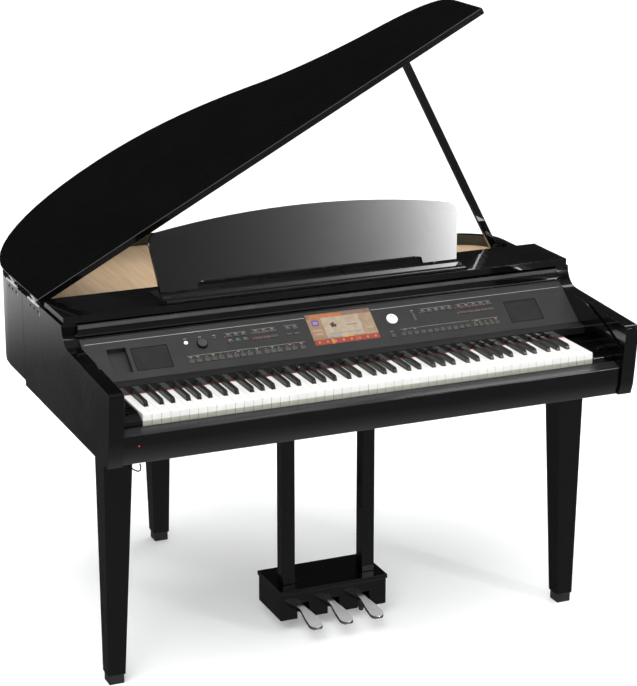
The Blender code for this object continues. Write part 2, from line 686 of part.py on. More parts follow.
def build_panel(piano):
    place, turn = panel_frame()
    inner = SIDE_X - SIDE_THICK - GAP
    rear = (PANEL_REAR[0] - PANEL_FOOT[0], PANEL_REAR[1] - PANEL_FOOT[1])
    back_u = rear[0] * cos_deg(PANEL_SLOPE) + rear[1] * sin_deg(PANEL_SLOPE)
    back_n = rear[1] * cos_deg(PANEL_SLOPE) - rear[0] * sin_deg(PANEL_SLOPE)
    section = [(0, 0), (PANEL_LENGTH, 0), (back_u, back_n), (back_u - 0.003, back_n - 0.0045),
               (PANEL_LENGTH - 0.001, -PANEL_THICK), (0, -PANEL_THICK)]
    bm = bmesh.new()
    add_prism(bm, section, X, -inner, inner)
    panel = piano.add("control_panel", bm, "panel", place, rotation=turn)
    bm = bmesh.new()
    add_box(bm, (POCKET_X[0] - 0.002, POCKET_X[1] + 0.002), (POCKET_U[0] - 0.002, POCKET_U[1] + 0.002),
            (-POCKET_DEPTH - 0.002, -0.001))
    piano.join(panel, bm)

    bm = bmesh.new()
    through = (-0.010, 0.010)
    add_box(bm, POCKET_X, POCKET_U, (-POCKET_DEPTH, 0.010))
    add_box(bm, SCREEN_X, SCREEN_U, through)
    for x in GRILLE_XS:
        add_box(bm, (x - GRILLE_SIZE[0] / 2, x + GRILLE_SIZE[0] / 2),
                (GRILLE_U - GRILLE_SIZE[1] / 2, GRILLE_U + GRILLE_SIZE[1] / 2), through)
    button_boxes(LEFT_ROWS + RIGHT_ROWS, 0.0004, *through, bm)
    add_cylinder(bm, POWER_AT, POWER_R + 0.0004, Z, *through)
    add_cylinder(bm, VOLUME_AT, DIAL_SHAFT_R + 0.0004, Z, *through, 12)
    add_cylinder(bm, DATA_AT, DIAL_SHAFT_R + 0.0004, Z, *through, 12)
    piano.cut(panel, bm)

    bm = bmesh.new()
    add_box(bm, (SCREEN_X[0] + GAP, SCREEN_X[1] - GAP), (SCREEN_U[0] + GAP, SCREEN_U[1] - GAP),
            (-0.0062, -0.0003))
    piano.add("screen", bm, "glass", place, rotation=turn)

    for name, driver, x in zip(("left_speaker_grille", "right_speaker_grille"),
                               ("left_panel_speaker", "right_panel_speaker"), GRILLE_XS):
        bm = bmesh.new()
        add_box(bm, (x - GRILLE_SIZE[0] / 2 + GAP, x + GRILLE_SIZE[0] / 2 - GAP),
                (GRILLE_U - GRILLE_SIZE[1] / 2 + GAP, GRILLE_U + GRILLE_SIZE[1] / 2 - GAP),
                (-PANEL_THICK, -0.0004))
        piano.add(name, bm, "satin", place, rotation=turn)
        bm = bmesh.new()
        add_turned(bm, [(0.020, -0.034), (0.020, -0.020), (0.034, -0.0085), (0.034, 0.0),
                        (0.030, 0.0), (0.010, -0.0100)], 20)
        centre = Matrix.Translation((x, GRILLE_U, -PANEL_THICK - GAP))
        bmesh.ops.transform(bm, matrix=centre, verts=bm.verts)
        piano.add(driver, bm, "cone", place, rotation=turn)

    build_controls(piano, place, turn)


def build_controls(piano, place, turn):
    mat_top = -PANEL_THICK - GAP
    board_top = mat_top - MAT_THICK - BUTTON_TRAVEL - 0.0004
    for name, rows, mat, hole in (("buttons_left", LEFT_ROWS, LEFT_MAT, VOLUME_AT),
                                  ("buttons_right", RIGHT_ROWS, RIGHT_MAT, DATA_AT)):
        bm = bmesh.new()
        add_box(bm, mat[0:2], mat[2:4], (mat_top - MAT_THICK, mat_top))
        buttons = piano.add(name, bm, "panel", place, rotation=turn)
        bm = bmesh.new()
        button_boxes(rows, 0, mat_top - MAT_THICK / 2, BUTTON_RISE, bm)
        piano.join(buttons, bm)
        bm = bmesh.new()
        add_cylinder(bm, hole, 0.008, Z, -0.01, 0.0, 12)
        if rows is LEFT_ROWS:
            add_cylinder(bm, POWER_AT, 0.0085, Z, -0.01, 0.0, 12)
        piano.cut(buttons, bm)

    def placed(bm, centre):
        bmesh.ops.transform(bm, matrix=Matrix.Translation((centre[0], centre[1], 0)), verts=bm.verts)
        return bm

    slope = Matrix.Rotation(math.radians(PANEL_SLOPE), 4, X)
    bm = bmesh.new()
    add_turned(bm, [(POWER_R + 0.0015, mat_top - MAT_THICK), (POWER_R + 0.0015, mat_top),
                    (POWER_R, mat_top), (POWER_R, 0.0010), (POWER_R - 0.0008, 0.0016)], 16)
    piano.add("power_button", placed(bm, POWER_AT), "white", place, rotation=turn)

    for name, material, centre, radius, height in (
            ("volume_dial", "panel", VOLUME_AT, VOLUME_R, 0.013),
            ("data_dial", "white", DATA_AT, DATA_R, 0.009)):
        bm = bmesh.new()
        add_turned(bm, [(DIAL_SHAFT_R, board_top + 0.0003), (DIAL_SHAFT_R, 0.0004), (radius, 0.0004),
                        (radius - 0.0006, height - 0.0015), (radius - 0.0022, height)], 24)
        at = Vector(place) + slope @ Vector((centre[0], centre[1], 0))
        piano.add(name, bm, material, at, rotation=turn)

    bm = bmesh.new()
    add_box(bm, BOARD_X, (0.020, 0.104), (board_top - BOARD_THICK, board_top))
    board = piano.add("panel_circuit_board", bm, "board", place, rotation=turn)
    bm = bmesh.new()
    for x in (LEFT_MAT[0] - 0.012, SCREEN_X[0] - 0.011, SCREEN_X[1] + 0.013, RIGHT_MAT[1] + 0.009):
        add_cylinder(bm, (x, 0.060), 0.003, Z, board_top - BOARD_THICK / 2, -PANEL_THICK - GAP, 8)
    piano.join(board, bm)


# Key cover

def build_key_cover(piano):
    half = COVER_THICK / 2
    start = 90 - COVER_FRONT
    end = start - COVER_SPAN
    outer = arc((0, 0), COVER_R + half, start, end, 14)
    inner = arc((0, 0), COVER_R - half, end, start, 14)
    pivot = (0, COVER_AXIS[0], COVER_AXIS[1])
    reach = SIDE_X - SIDE_THICK + GROOVE_DEPTH - RUN
    bm = bmesh.new()
    add_prism(bm, outer + inner, X, -reach, reach)
    cover = piano.add("key_cover", bm, "ebony", pivot)
    lip_end = start - COVER_LIP_SPAN
    top = COVER_R + half + COVER_LIP_RISE
    low = COVER_R - half

    def polar(radius, angle):
        return (radius * cos_deg(angle), radius * sin_deg(angle))

    lip = [polar(low, start + 0.05), polar(top - 0.011, start + 0.05), polar(top - 0.002, start - 0.15),
           polar(top, start - 0.30), polar(top, lip_end), polar(low, lip_end)]
    bm = bmesh.new()
    lip_half = SIDE_X - SIDE_THICK - RUN
    add_prism(bm, lip, X, -lip_half, lip_half)
    piano.join(cover, bm)


# Lid, hinges and prop

def build_lid(piano):
    axis = (HINGE_X, 0, LID_BOTTOM)
    turn = (0, -math.radians(LID_ANGLE), 0)
    outline = [(LID_LEFT, LID_FRONT), (LID_RIGHT, LID_FRONT)] + tail_curve(0.0, LID_LEFT)
    bm = bmesh.new()
    add_prism(bm, [(x - HINGE_X, y) for x, y in outline], Z, 0.0, LID_THICK)
    piano.add("lid", bm, "ebony", axis, rotation=turn)

    for place, y in zip(("front", "rear"), HINGE_YS):
        third = HINGE_LONG / 3
        bm = bmesh.new()
        leaf_x = -SIDE_X - GAP - HINGE_X
        leaf = [(0, -LEAF_DROP), (HINGE_LONG, -LEAF_DROP), (HINGE_LONG, -0.001), (2 * third, -0.001),
                (2 * third, -0.0035), (third, -0.0035), (third, -0.001), (0, -0.001)]
        add_prism(bm, leaf, X, leaf_x - LEAF_THICK, leaf_x)
        fixed = piano.add("hinge_leaf_fixed_" + place, bm, "chrome", (HINGE_X, y, LID_BOTTOM))
        bm = bmesh.new()
        for low in (0, 2 * third):
            add_cylinder(bm, (0, 0), HINGE_R, Y, low, low + third, 12)
        piano.join(fixed, bm)
        bm = bmesh.new()
        add_cylinder(bm, (0, 0), HINGE_PIN_R, Y, third / 2, HINGE_LONG - third / 2, 8)
        piano.join(fixed, bm)

        bm = bmesh.new()
        add_cylinder(bm, (0, 0), HINGE_R, Y, third + GAP, 2 * third - GAP, 12)
        moving = piano.add("hinge_leaf_moving_" + place, bm, "chrome", (HINGE_X, y, LID_BOTTOM),
                           rotation=turn)
        edge = LID_LEFT - HINGE_X - GAP
        section = [(0.0, 0.0006), (0.0, 0.0022), (edge - LEAF_THICK, 0.0022), (edge - LEAF_THICK, LEAF_RISE),
                   (edge, LEAF_RISE), (edge, 0.0006)]
        bm = bmesh.new()
        add_prism(bm, section, Y, third + GAP, 2 * third - GAP)
        piano.join(moving, bm)
        bm = bmesh.new()
        add_cylinder(bm, (0, 0), HINGE_PIN_R + PIN_PLAY, Y, third - 0.002, 2 * third + 0.002, 8)
        piano.cut(moving, bm)


def prop_length():
    """From the foot's axis to the underside of the lid, along the prop."""
    across = Vector((-sin_deg(LID_ANGLE), cos_deg(LID_ANGLE)))
    foot = Vector((PROP_FOOT[0] - HINGE_X, PROP_FOOT[2] - LID_BOTTOM))
    way = Vector((-sin_deg(PROP_LEAN), cos_deg(PROP_LEAN)))
    return -across.dot(foot) / across.dot(way)


def build_prop(piano):
    turn = (0, -math.radians(PROP_LEAN), 0)
    length = prop_length() - 0.0004
    outline = [(PROP_HALF_X, length), (-PROP_HALF_X, length)]
    outline += arc((0, 0), PROP_HALF_X, 180, 360, 8)
    bm = bmesh.new()
    add_prism(bm, outline, Y, -PROP_HALF_Y, PROP_HALF_Y)
    prop = piano.add("lid_prop", bm, "ebony", PROP_FOOT, rotation=turn)
    bm = bmesh.new()
    add_cylinder(bm, (0, SHORT_UP), PROP_PIN_R, Y, PROP_HALF_Y - 0.001, PROP_HALF_Y + GAP + SHORT_THICK, 12)
    piano.join(prop, bm)
    bm = bmesh.new()
    add_cylinder(bm, (0, 0), PROP_PIN_R + PIN_PLAY, Y, -0.01, 0.01, 12)
    piano.cut(prop, bm)

    outline = arc((0, 0), SHORT_HALF_X, 180, 360, 6)
    outline += arc((0, SHORT_LONG), SHORT_HALF_X, 0, 180, 6)
    bm = bmesh.new()
    add_prism(bm, outline, Y, PROP_HALF_Y + GAP, PROP_HALF_Y + GAP + SHORT_THICK)
    short = piano.add("short_prop", bm, "ebony", (0, 0, SHORT_UP), parent=prop)
    bm = bmesh.new()
    add_cylinder(bm, (0, 0), PROP_PIN_R + PIN_PLAY, Y, 0.0, 0.02, 12)
    piano.cut(short, bm)

    wall = SIDE_X - SIDE_THICK - GAP
    foot_x, foot_y, foot_z = PROP_FOOT
    plate = wall - 0.0042
    bm = bmesh.new()
    add_box(bm, (plate, wall), (foot_y - 0.028, foot_y + 0.015), (SOUNDBOARD_TOP + 0.0005, RIM_TOP - 0.002))
    bracket = piano.add("prop_bracket", bm, "steel")
    bm = bmesh.new()
    ear = [(foot_x, foot_z - PROP_HALF_X + 0.002), (plate + 0.001, foot_z - PROP_HALF_X + 0.002),
           (plate + 0.001, foot_z + PROP_HALF_X - 0.002), (foot_x, foot_z + PROP_HALF_X - 0.002)]
    ear += arc((foot_x, foot_z), PROP_HALF_X - 0.002, 90, 270, 6)[1:-1]
    for side in (-1, 1):
        near = side * (PROP_HALF_Y + GAP)
        far = side * (PROP_HALF_Y + GAP + 0.004)
        add_prism(bm, ear, Y, *sorted((foot_y + near, foot_y + far)))
    piano.join(bracket, bm)
    bm = bmesh.new()
    add_cylinder(bm, (foot_x, foot_z), PROP_PIN_R, Y, foot_y - 0.010, foot_y + 0.010, 12)
    piano.join(bracket, bm)


# Music rest

def rest_pivot():
    back = REST_THICK + REST_EYE_DEPTH
    return (REST_FRONT_Y + back * cos_deg(REST_LEAN) - REST_LIFT * sin_deg(REST_LEAN),
            REST_BOTTOM_Z - back * sin_deg(REST_LEAN) - REST_LIFT * cos_deg(REST_LEAN))


def rest_outline():
    """Front view, as (x, height) above the hinge axis."""
    low = REST_LIFT
    foot_in = REST_HALF_BOTTOM - REST_FOOT
    drop = REST_HEIGHT - REST_CORNER
    radius = (REST_HALF_TOP * REST_HALF_TOP + drop * drop) / (2 * drop)
    tip = math.degrees(math.asin(REST_HALF_TOP / radius))
    sweep = math.degrees(math.asin((REST_HALF_TOP - REST_CORNER_R) / (radius - REST_CORNER_R)))
    rounding = (REST_HALF_TOP - REST_CORNER_R,
                low + REST_HEIGHT - radius + (radius - REST_CORNER_R) * cos_deg(sweep))
    right = [(foot_in - 0.020, low + REST_NOTCH), (foot_in - 0.003, low + REST_NOTCH - 0.004),
             (foot_in, low), (REST_HALF_BOTTOM, low)]
    right += arc(rounding, REST_CORNER_R, 0, 90 - tip, 4)[:-1]
    crown = arc((0, low + REST_HEIGHT - radius), radius, 90 - sweep, 90 + sweep, 16)
    left = [(-x, z) for x, z in reversed(right)]
    return right + crown + left


def build_music_rest(piano):
    pivot_y, pivot_z = rest_pivot()
    front = -(REST_THICK + REST_EYE_DEPTH)
    back = -REST_EYE_DEPTH
    lean = (-math.radians(REST_LEAN), 0, 0)
    bm = bmesh.new()
    add_prism(bm, rest_outline(), Y, front, back)
    rest = piano.add("music_rest", bm, "ebony", (0, pivot_y, pivot_z), rotation=lean)
    eye = arc((0, 0), REST_EYE_R, -90, 90, 8) + [(back - 0.001, 0.012), (back - 0.001, 0.003)]
    stay_back = 0.0035
    bm = bmesh.new()
    for side in (-1, 1):
        add_prism(bm, eye, X, *sorted((side * REST_EYE_X, side * (REST_EYE_X + 0.008))))
        near = STAY_HALF + STAY_WIRE_R + 0.0006
        add_box(bm, sorted((side * near, side * (near + 0.006))), (back - 0.001, back + 0.008),
                (STAY_UP - 0.0045, STAY_UP + 0.0045))
    piano.join(rest, bm)
    bm = bmesh.new()
    for side in (-1, 1):
        add_cylinder(bm, (0, 0), REST_PIN_R + PIN_PLAY, X,
                     *sorted((side * (REST_EYE_X - 0.001), side * (REST_EYE_X + 0.009))), 10)
        add_cylinder(bm, (back + stay_back, STAY_UP), STAY_WIRE_R + PIN_PLAY, X,
                     *sorted((side * (STAY_HALF - 0.01), side * (STAY_HALF + 0.02))), 10)
    piano.cut(rest, bm)
    build_stay(piano, rest, (back + stay_back, STAY_UP), (pivot_y, pivot_z))
    build_ledge(piano, pivot_y, pivot_z)


def stay_angles(pivot, rest_axis):
    """Length of the stay and its angle in the rest's own axes."""
    lean = math.radians(REST_LEAN)
    seat = (STAY_FOOT_Y - rest_axis[0], ledge_floor() + STAY_WIRE_R + GAP - rest_axis[1])
    local = (seat[0] * math.cos(lean) - seat[1] * math.sin(lean),
             seat[0] * math.sin(lean) + seat[1] * math.cos(lean))
    away = (local[0] - pivot[0], local[1] - pivot[1])
    return math.hypot(*away), math.atan2(away[0], -away[1])


def build_stay(piano, rest, pivot, rest_axis):
    """Bent wire that holds the rest up from behind."""
    length, angle = stay_angles(pivot, rest_axis)
    bend = 0.006
    corner = arc((STAY_HALF - bend, -length + bend), bend, 0, -90, 3)
    half = [(STAY_HALF + 0.0085, 0.0), (STAY_HALF + 0.002, 0.0), (STAY_HALF, -0.002), *corner]
    route = half + [(-x, z) for x, z in reversed(half)]
    curve = bpy.data.curves.new("rest_stay", "CURVE")
    curve.dimensions = "3D"
    curve.bevel_depth = STAY_WIRE_R
    curve.bevel_resolution = 2
    curve.use_fill_caps = True
    spline = curve.splines.new("POLY")
    spline.points.add(len(route) - 1)
    for point, (x, z) in zip(spline.points, route):
        point.co = (x, 0.0, z, 1.0)
    curve.materials.append(piano.materials["steel"])
    stay = bpy.data.objects.new("rest_stay", curve)
    bpy.context.collection.objects.link(stay)
    stay.parent = rest
    stay.location = (0, pivot[0], pivot[1])
    stay.rotation_euler = (angle, 0, 0)


def ledge_floor():
    return RECESS_FLOOR + GAP + 0.003


def build_ledge(piano, pivot_y, pivot_z):
    """Tray in the recess with a raised front lip, pads for the rest and its pins."""
    low = RECESS_FLOOR + GAP
    floor = ledge_floor()
    step = low + LEDGE_STEP
    section = [(LEDGE_FRONT, low), (LEDGE_FRONT, step - 0.0025), (LEDGE_FRONT + 0.004, step),
               (LEDGE_LIP - 0.024, step), (LEDGE_LIP - 0.020, low + LEDGE_RISE - 0.001),
               (LEDGE_LIP - 0.003, low + LEDGE_RISE), (LEDGE_LIP, floor),
               (LEDGE_REAR, floor), (LEDGE_REAR, low)]
    bm = bmesh.new()
    add_prism(bm, section, X, -LEDGE_HALF, LEDGE_HALF)
    ledge = piano.add("music_ledge", bm, "ebony")
    pad_top = REST_BOTTOM_Z - REST_THICK * sin_deg(REST_LEAN) - GAP
    pad = (REST_HALF_BOTTOM - 0.026, REST_HALF_BOTTOM - 0.002)
    bm = bmesh.new()
    for side in (-1, 1):
        add_box(bm, sorted((side * pad[0], side * pad[1])), (REST_FRONT_Y - 0.003, REST_FRONT_Y + 0.0125),
                (floor - 0.001, pad_top))
        ear = [(pivot_y - REST_EYE_R, floor - 0.001), (pivot_y + REST_EYE_R, floor - 0.001)]
        ear += arc((pivot_y, pivot_z), REST_EYE_R, 0, 180, 8)
        add_prism(bm, ear, X, *sorted((side * (REST_EYE_X + 0.0083), side * (REST_EYE_X + 0.0143))))
    piano.join(ledge, bm)
    bm = bmesh.new()
    for side in (-1, 1):
        add_cylinder(bm, (pivot_y, pivot_z), REST_PIN_R, X,
                     *sorted((side * (REST_EYE_X + 0.0003), side * (REST_EYE_X + 0.0100))), 10)
    piano.join(ledge, bm)


# Legs and lyre

def build_leg(piano, name, top_centre, end_centre, top_z):
    def square(centre, size, z):
        half = size / 2
        return [(centre[0] + sx * half, centre[1] + sy * half, z)
                for sx, sy in ((-1, -1), (1, -1), (1, 1), (-1, 1))]

    bm = bmesh.new()
    add_loft(bm, [square(end_centre, LEG_FOOT - 0.002, 0.0), square(end_centre, LEG_FOOT, 0.0015),
                  square(end_centre, LEG_FOOT, LEG_FOOT_HEIGHT),
                  square(end_centre, LEG_END, LEG_FOOT_HEIGHT + 0.001), square(top_centre, LEG_TOP, top_z)])
    piano.add(name, bm, "ebony")


def build_legs(piano):
    top_x = FRONT_LEG_X - LEG_TOP / 2
    top_y = FRONT_LEG_Y + LEG_TOP / 2
    end_x = FRONT_LEG_X - 0.0015 - LEG_END / 2
    end_y = top_y + 0.006
    for name, sign in (("leg_front_left", -1), ("leg_front_right", 1)):
        build_leg(piano, name, (sign * top_x, top_y), (sign * end_x, end_y), BODY_BOTTOM - GAP)
    build_leg(piano, "leg_rear", REAR_LEG, REAR_LEG, RIM_BOTTOM - GAP)


def pedal_slots(bm):
    for i in (-1, 0, 1):
        x = i * PEDAL_PITCH
        add_box(bm, (x - SLOT_HALF, x + SLOT_HALF), (BOX_Y[0] - 0.01, BOX_Y[0] + BOX_WALL + 0.01),
                (BOX_Z[0] - 0.01, SLOT_TOP))


def build_lyre(piano):
    cap_low = BOX_Z[1] + GAP
    cap_top = cap_low + CAP_THICK
    bm = bmesh.new()
    add_box(bm, (-BOX_X, BOX_X), BOX_Y, BOX_Z)
    box = piano.add("pedal_box", bm, "ebony")
    inside_y = (BOX_Y[0] + BOX_WALL, BOX_Y[1] - BOX_WALL)
    bm = bmesh.new()
    add_box(bm, (-BOX_X + BOX_WALL, BOX_X - BOX_WALL), inside_y, (BOX_Z[0] + BOX_FLOOR, BOX_Z[1] + 0.01))
    piano.cut(box, bm)
    bm = bmesh.new()
    add_box(bm, (-BOX_X + BOX_WALL, BOX_X - BOX_WALL), (inside_y[0], 0.300), (BOX_Z[0] - 0.01, 0.060))
    piano.cut(box, bm)
    bm = bmesh.new()
    pedal_slots(bm)
    piano.cut(box, bm)
    bm = bmesh.new()
    add_cylinder(bm, ADJUSTER_AT, STUD_R + PIN_PLAY, Z, BOX_Z[0] - 0.01, 0.060, 12)
    piano.cut(box, bm)

    bm = bmesh.new()
    over = CAP_OVERHANG
    add_box(bm, (-BOX_X - over, BOX_X + over), (BOX_Y[0] - over, BOX_Y[1] + over), (cap_low, cap_top))
    piano.add("pedal_box_cap", bm, "ebony")

    for name, sign in (("lyre_post_left", -1), ("lyre_post_right", 1)):
        bm = bmesh.new()
        add_box(bm, (sign * POST_X - POST_SIZE[0] / 2, sign * POST_X + POST_SIZE[0] / 2),
                (POST_Y - POST_SIZE[1] / 2, POST_Y + POST_SIZE[1] / 2), (cap_top + GAP, BODY_BOTTOM - GAP))
        piano.add(name, bm, "ebony")

    bm = bmesh.new()
    reach = BOX_X - BOX_WALL - GAP
    add_cylinder(bm, PEDAL_AXIS, AXLE_R, X, -reach, reach, 16)
    piano.add("pedal_axle", bm, "steel")
    for i, name in enumerate(("pedal_left", "pedal_middle", "pedal_right")):
        build_pedal(piano, name, (i - 1) * PEDAL_PITCH)

    bm = bmesh.new()
    knob_top = BOX_Z[0] - GAP
    add_turned(bm, [(ADJUSTER_R - 0.004, 0.0), (ADJUSTER_R - 0.003, 0.006), (ADJUSTER_R - 0.001, 0.010),
                    (ADJUSTER_R, 0.014), (ADJUSTER_R, knob_top), (STUD_R, knob_top),
                    (STUD_R, BOX_Z[0] + BOX_FLOOR + 0.003)], 16)
    piano.add("pedal_adjuster", bm, "satin", (ADJUSTER_AT[0], ADJUSTER_AT[1], 0))


def build_pedal(piano, name, x):
    axis_y, axis_z = PEDAL_AXIS
    tip_y = PEDAL_TIP_Y - axis_y
    neck = PEDAL_NECK / 2
    door = BOX_Y[0] - axis_y
    plan = [(neck, 0.012), (neck, door - 0.004), (PEDAL_TIP_R * 0.88, tip_y + 0.034)]
    plan += arc((0, tip_y), PEDAL_TIP_R, 0, -180, 10)
    plan += [(-PEDAL_TIP_R * 0.88, tip_y + 0.034), (-neck, door - 0.004), (-neck, 0.012)]
    top = PEDAL_TOP - axis_z
    end = tip_y - PEDAL_TIP_R
    upper = bezier((0.012, top), (-0.080, top), (door + 0.020, top + 0.0005), (door, top), 3)
    upper += bezier((door, top), (door - 0.030, top - 0.001), (tip_y + 0.010, top - 0.006),
                    (end + 0.008, top - 0.0105), 4)
    lower = [(y, z - PEDAL_THICK) for y, z in upper]
    nose = arc((end + 0.0045, top - 0.0162), 0.0048, 70, 250, 5)
    side = upper + nose + lower[::-1]
    bm = bmesh.new()
    add_prism(bm, plan, Z, -0.05, 0.03)
    pedal = piano.add(name, bm, "chrome", (x, axis_y, axis_z))
    bm = bmesh.new()
    add_prism(bm, side, X, -0.03, 0.03)
    piano.modify(pedal, bm, "INTERSECT")
    bm = bmesh.new()
    add_cylinder(bm, (0, 0), AXLE_R + 0.005, X, -neck, neck, 16)
    piano.join(pedal, bm)
    bm = bmesh.new()
    add_cylinder(bm, (0, 0), AXLE_R + PIN_PLAY, X, -0.02, 0.02, 16)
    piano.cut(pedal, bm)


# Inside the case

def build_electronics(piano):
    bed_top = BODY_BOTTOM + BED_THICK + GAP
    bottom_top = RIM_BOTTOM + BOTTOM_THICK + GAP
    for name, x in (("left_woofer", -0.36), ("right_woofer", 0.36)):
        bm = bmesh.new()
        add_turned(bm, [(0.074, 0.0), (0.074, 0.006), (0.066, 0.008), (0.042, 0.038), (0.042, 0.062),
                        (0.038, 0.066)], 24)
        woofer = piano.add(name, bm, "cone", (x, 0.585, bottom_top))
        bm = bmesh.new()
        add_turned(bm, [(0.060, -0.005), (0.060, 0.004), (0.018, 0.028)], 24)
        piano.cut(woofer, bm)

    bm = bmesh.new()
    add_box(bm, (-0.40, -0.02), (0.262, 0.432), (bed_top + 0.012, bed_top + 0.0136))
    board = piano.add("main_circuit_board", bm, "board")
    bm = bmesh.new()
    for x in (-0.39, -0.21, -0.03):
        for y in (0.270, 0.424):
            add_cylinder(bm, (x, y), 0.0035, Z, bed_top, bed_top + 0.0128, 8)
    for x, y, size in ((-0.33, 0.34, 0.030), (-0.25, 0.31, 0.020), (-0.14, 0.36, 0.034)):
        add_box(bm, (x - size / 2, x + size / 2), (y - size / 2, y + size / 2),
                (bed_top + 0.0128, bed_top + 0.0165))
    add_box(bm, (-0.09, -0.05), (0.40, 0.428), (bed_top + 0.0128, bed_top + 0.026))
    piano.join(board, bm)

    bm = bmesh.new()
    add_box(bm, (0.12, 0.29), (0.27, 0.40), (bed_top, bed_top + 0.042))
    supply = piano.add("power_supply", bm, "steel")
    bm = bmesh.new()
    for i in range(9):
        y = 0.286 + 0.0125 * i
        add_box(bm, (0.14, 0.27), (y, y + 0.005), (bed_top + 0.036, bed_top + 0.05))
    piano.cut(supply, bm)


def build_hanger(piano):
    """Bent wire under the bass end of the key bed that a headphone hangs on."""
    top = BODY_BOTTOM - GAP
    radius = 0.0018
    route = [(-0.6560, 0.020, top), (-0.6560, 0.020, top - 0.006), (-0.6500, 0.010, top - 0.013),
             (-0.6400, -0.006, top - 0.020), (-0.6330, -0.014, top - 0.022), (-0.6270, -0.014, top - 0.020),
             (-0.6240, -0.008, top - 0.014), (-0.6240, -0.002, top - 0.008)]
    curve = bpy.data.curves.new("headphone_hanger", "CURVE")
    curve.dimensions = "3D"
    curve.bevel_depth = radius
    curve.bevel_resolution = 2
    curve.use_fill_caps = True
    spline = curve.splines.new("POLY")
    spline.points.add(len(route) - 1)
    for point, place in zip(spline.points, route):
        point.co = (*place, 1.0)
    curve.materials.append(piano.materials["satin"])
    hanger = bpy.data.objects.new("headphone_hanger", curve)
    bpy.context.collection.objects.link(hanger)
    hanger.parent = piano.root


clear_scene()
grand = Piano()
build_case(grand)
build_top_board(grand)
build_keys(grand)
build_panel(grand)
build_key_cover(grand)
build_lid(grand)
build_prop(grand)
build_music_rest(grand)
build_legs(grand)
build_lyre(grand)
build_electronics(grand)
build_hanger(grand)
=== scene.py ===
"""Looks of the digital grand piano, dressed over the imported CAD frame.

Metres, +Z up, the keyboard faces -Y. X and Y of the small pieces are given
from the middle of the keyboard and the front of the white keys.
"""
import json
import math

import bmesh
import bpy
from mathutils import Matrix, Vector

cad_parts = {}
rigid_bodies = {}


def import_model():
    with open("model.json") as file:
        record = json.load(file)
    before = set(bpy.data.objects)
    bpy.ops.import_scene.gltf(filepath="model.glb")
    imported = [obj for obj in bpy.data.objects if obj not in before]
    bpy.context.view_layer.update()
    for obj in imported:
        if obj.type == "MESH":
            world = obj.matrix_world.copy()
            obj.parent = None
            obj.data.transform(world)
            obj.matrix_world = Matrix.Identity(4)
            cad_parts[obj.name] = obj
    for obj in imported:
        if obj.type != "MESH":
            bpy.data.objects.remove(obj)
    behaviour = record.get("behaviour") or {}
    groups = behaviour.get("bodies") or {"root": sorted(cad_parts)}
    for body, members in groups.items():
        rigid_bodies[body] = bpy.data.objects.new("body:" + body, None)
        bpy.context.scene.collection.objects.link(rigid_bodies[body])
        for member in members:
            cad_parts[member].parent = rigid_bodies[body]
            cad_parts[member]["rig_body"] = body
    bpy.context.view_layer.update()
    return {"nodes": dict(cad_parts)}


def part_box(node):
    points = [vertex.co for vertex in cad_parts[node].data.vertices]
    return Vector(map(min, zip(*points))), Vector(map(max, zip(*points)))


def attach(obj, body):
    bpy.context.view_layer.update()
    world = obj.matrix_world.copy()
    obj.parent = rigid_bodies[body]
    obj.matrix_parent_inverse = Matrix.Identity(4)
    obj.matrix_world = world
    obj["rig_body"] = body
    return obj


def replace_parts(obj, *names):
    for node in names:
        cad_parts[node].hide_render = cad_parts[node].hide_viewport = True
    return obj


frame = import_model()
keyboard_x = (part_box("left_side_panel")[0].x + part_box("right_side_panel")[1].x) / 2
keyboard_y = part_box("middle_c_key")[0].y


# The two sides with their arms are fibreboard under thick black polyester
# lacquer, buffed to a mirror. Every edge is eased before it is lacquered.
def add(tree, kind, **values):
    """A shader node with its properties and socket values."""
    node = tree.nodes.new("ShaderNode" + kind)
    for name, value in values.items():
        if name in node.bl_rna.properties:
            setattr(node, name, value)
        else:
            node.inputs[name.replace("_", " ")].default_value = value
    return node


def start_group(name, inputs, outputs):
    """An empty group: its tree, its input node and its output node."""
    tree = bpy.data.node_groups.new(name, "ShaderNodeTree")
    for label, kind in inputs:
        tree.interface.new_socket(label, in_out="INPUT", socket_type="NodeSocket" + kind)
    for label, kind in outputs:
        tree.interface.new_socket(label, in_out="OUTPUT", socket_type="NodeSocket" + kind)
    return tree, tree.nodes.new("NodeGroupInput"), tree.nodes.new("NodeGroupOutput")


# Broad cloudy marks for the gloss, and a fine unevenness for the bump.
marks, given, result = start_group(
    "surface marks",
    [("Scale", "Float"), ("Fine", "Float"), ("Least", "Float"), ("Most", "Float")],
    [("Mask", "Float"), ("Roughness", "Float"), ("Height", "Float")])
place = add(marks, "TexCoord")
cloud = add(marks, "TexNoise", Detail=5.0, Roughness=0.6, Distortion=0.4)
fine = add(marks, "TexNoise", Detail=2.0, Roughness=0.5)
spread = add(marks, "MapRange", From_Min=0.35, From_Max=0.68)
level = add(marks, "MapRange", From_Min=0.35, From_Max=0.68)
marks.links.new(place.outputs["Object"], cloud.inputs["Vector"])
marks.links.new(place.outputs["Object"], fine.inputs["Vector"])
marks.links.new(given.outputs["Scale"], cloud.inputs["Scale"])
marks.links.new(given.outputs["Fine"], fine.inputs["Scale"])
marks.links.new(cloud.outputs["Fac"], spread.inputs["Value"])
marks.links.new(cloud.outputs["Fac"], level.inputs["Value"])
marks.links.new(given.outputs["Least"], level.inputs["To Min"])
marks.links.new(given.outputs["Most"], level.inputs["To Max"])
marks.links.new(spread.outputs["Result"], result.inputs["Mask"])
marks.links.new(level.outputs["Result"], result.inputs["Roughness"])
marks.links.new(fine.outputs["Fac"], result.inputs["Height"])


# Sockets of a Mix node, first for colours and then for values.
COLOUR_A, COLOUR_B, MIXED_COLOUR = 6, 7, 2
VALUE_A, VALUE_B, MIXED_VALUE = 2, 3, 0


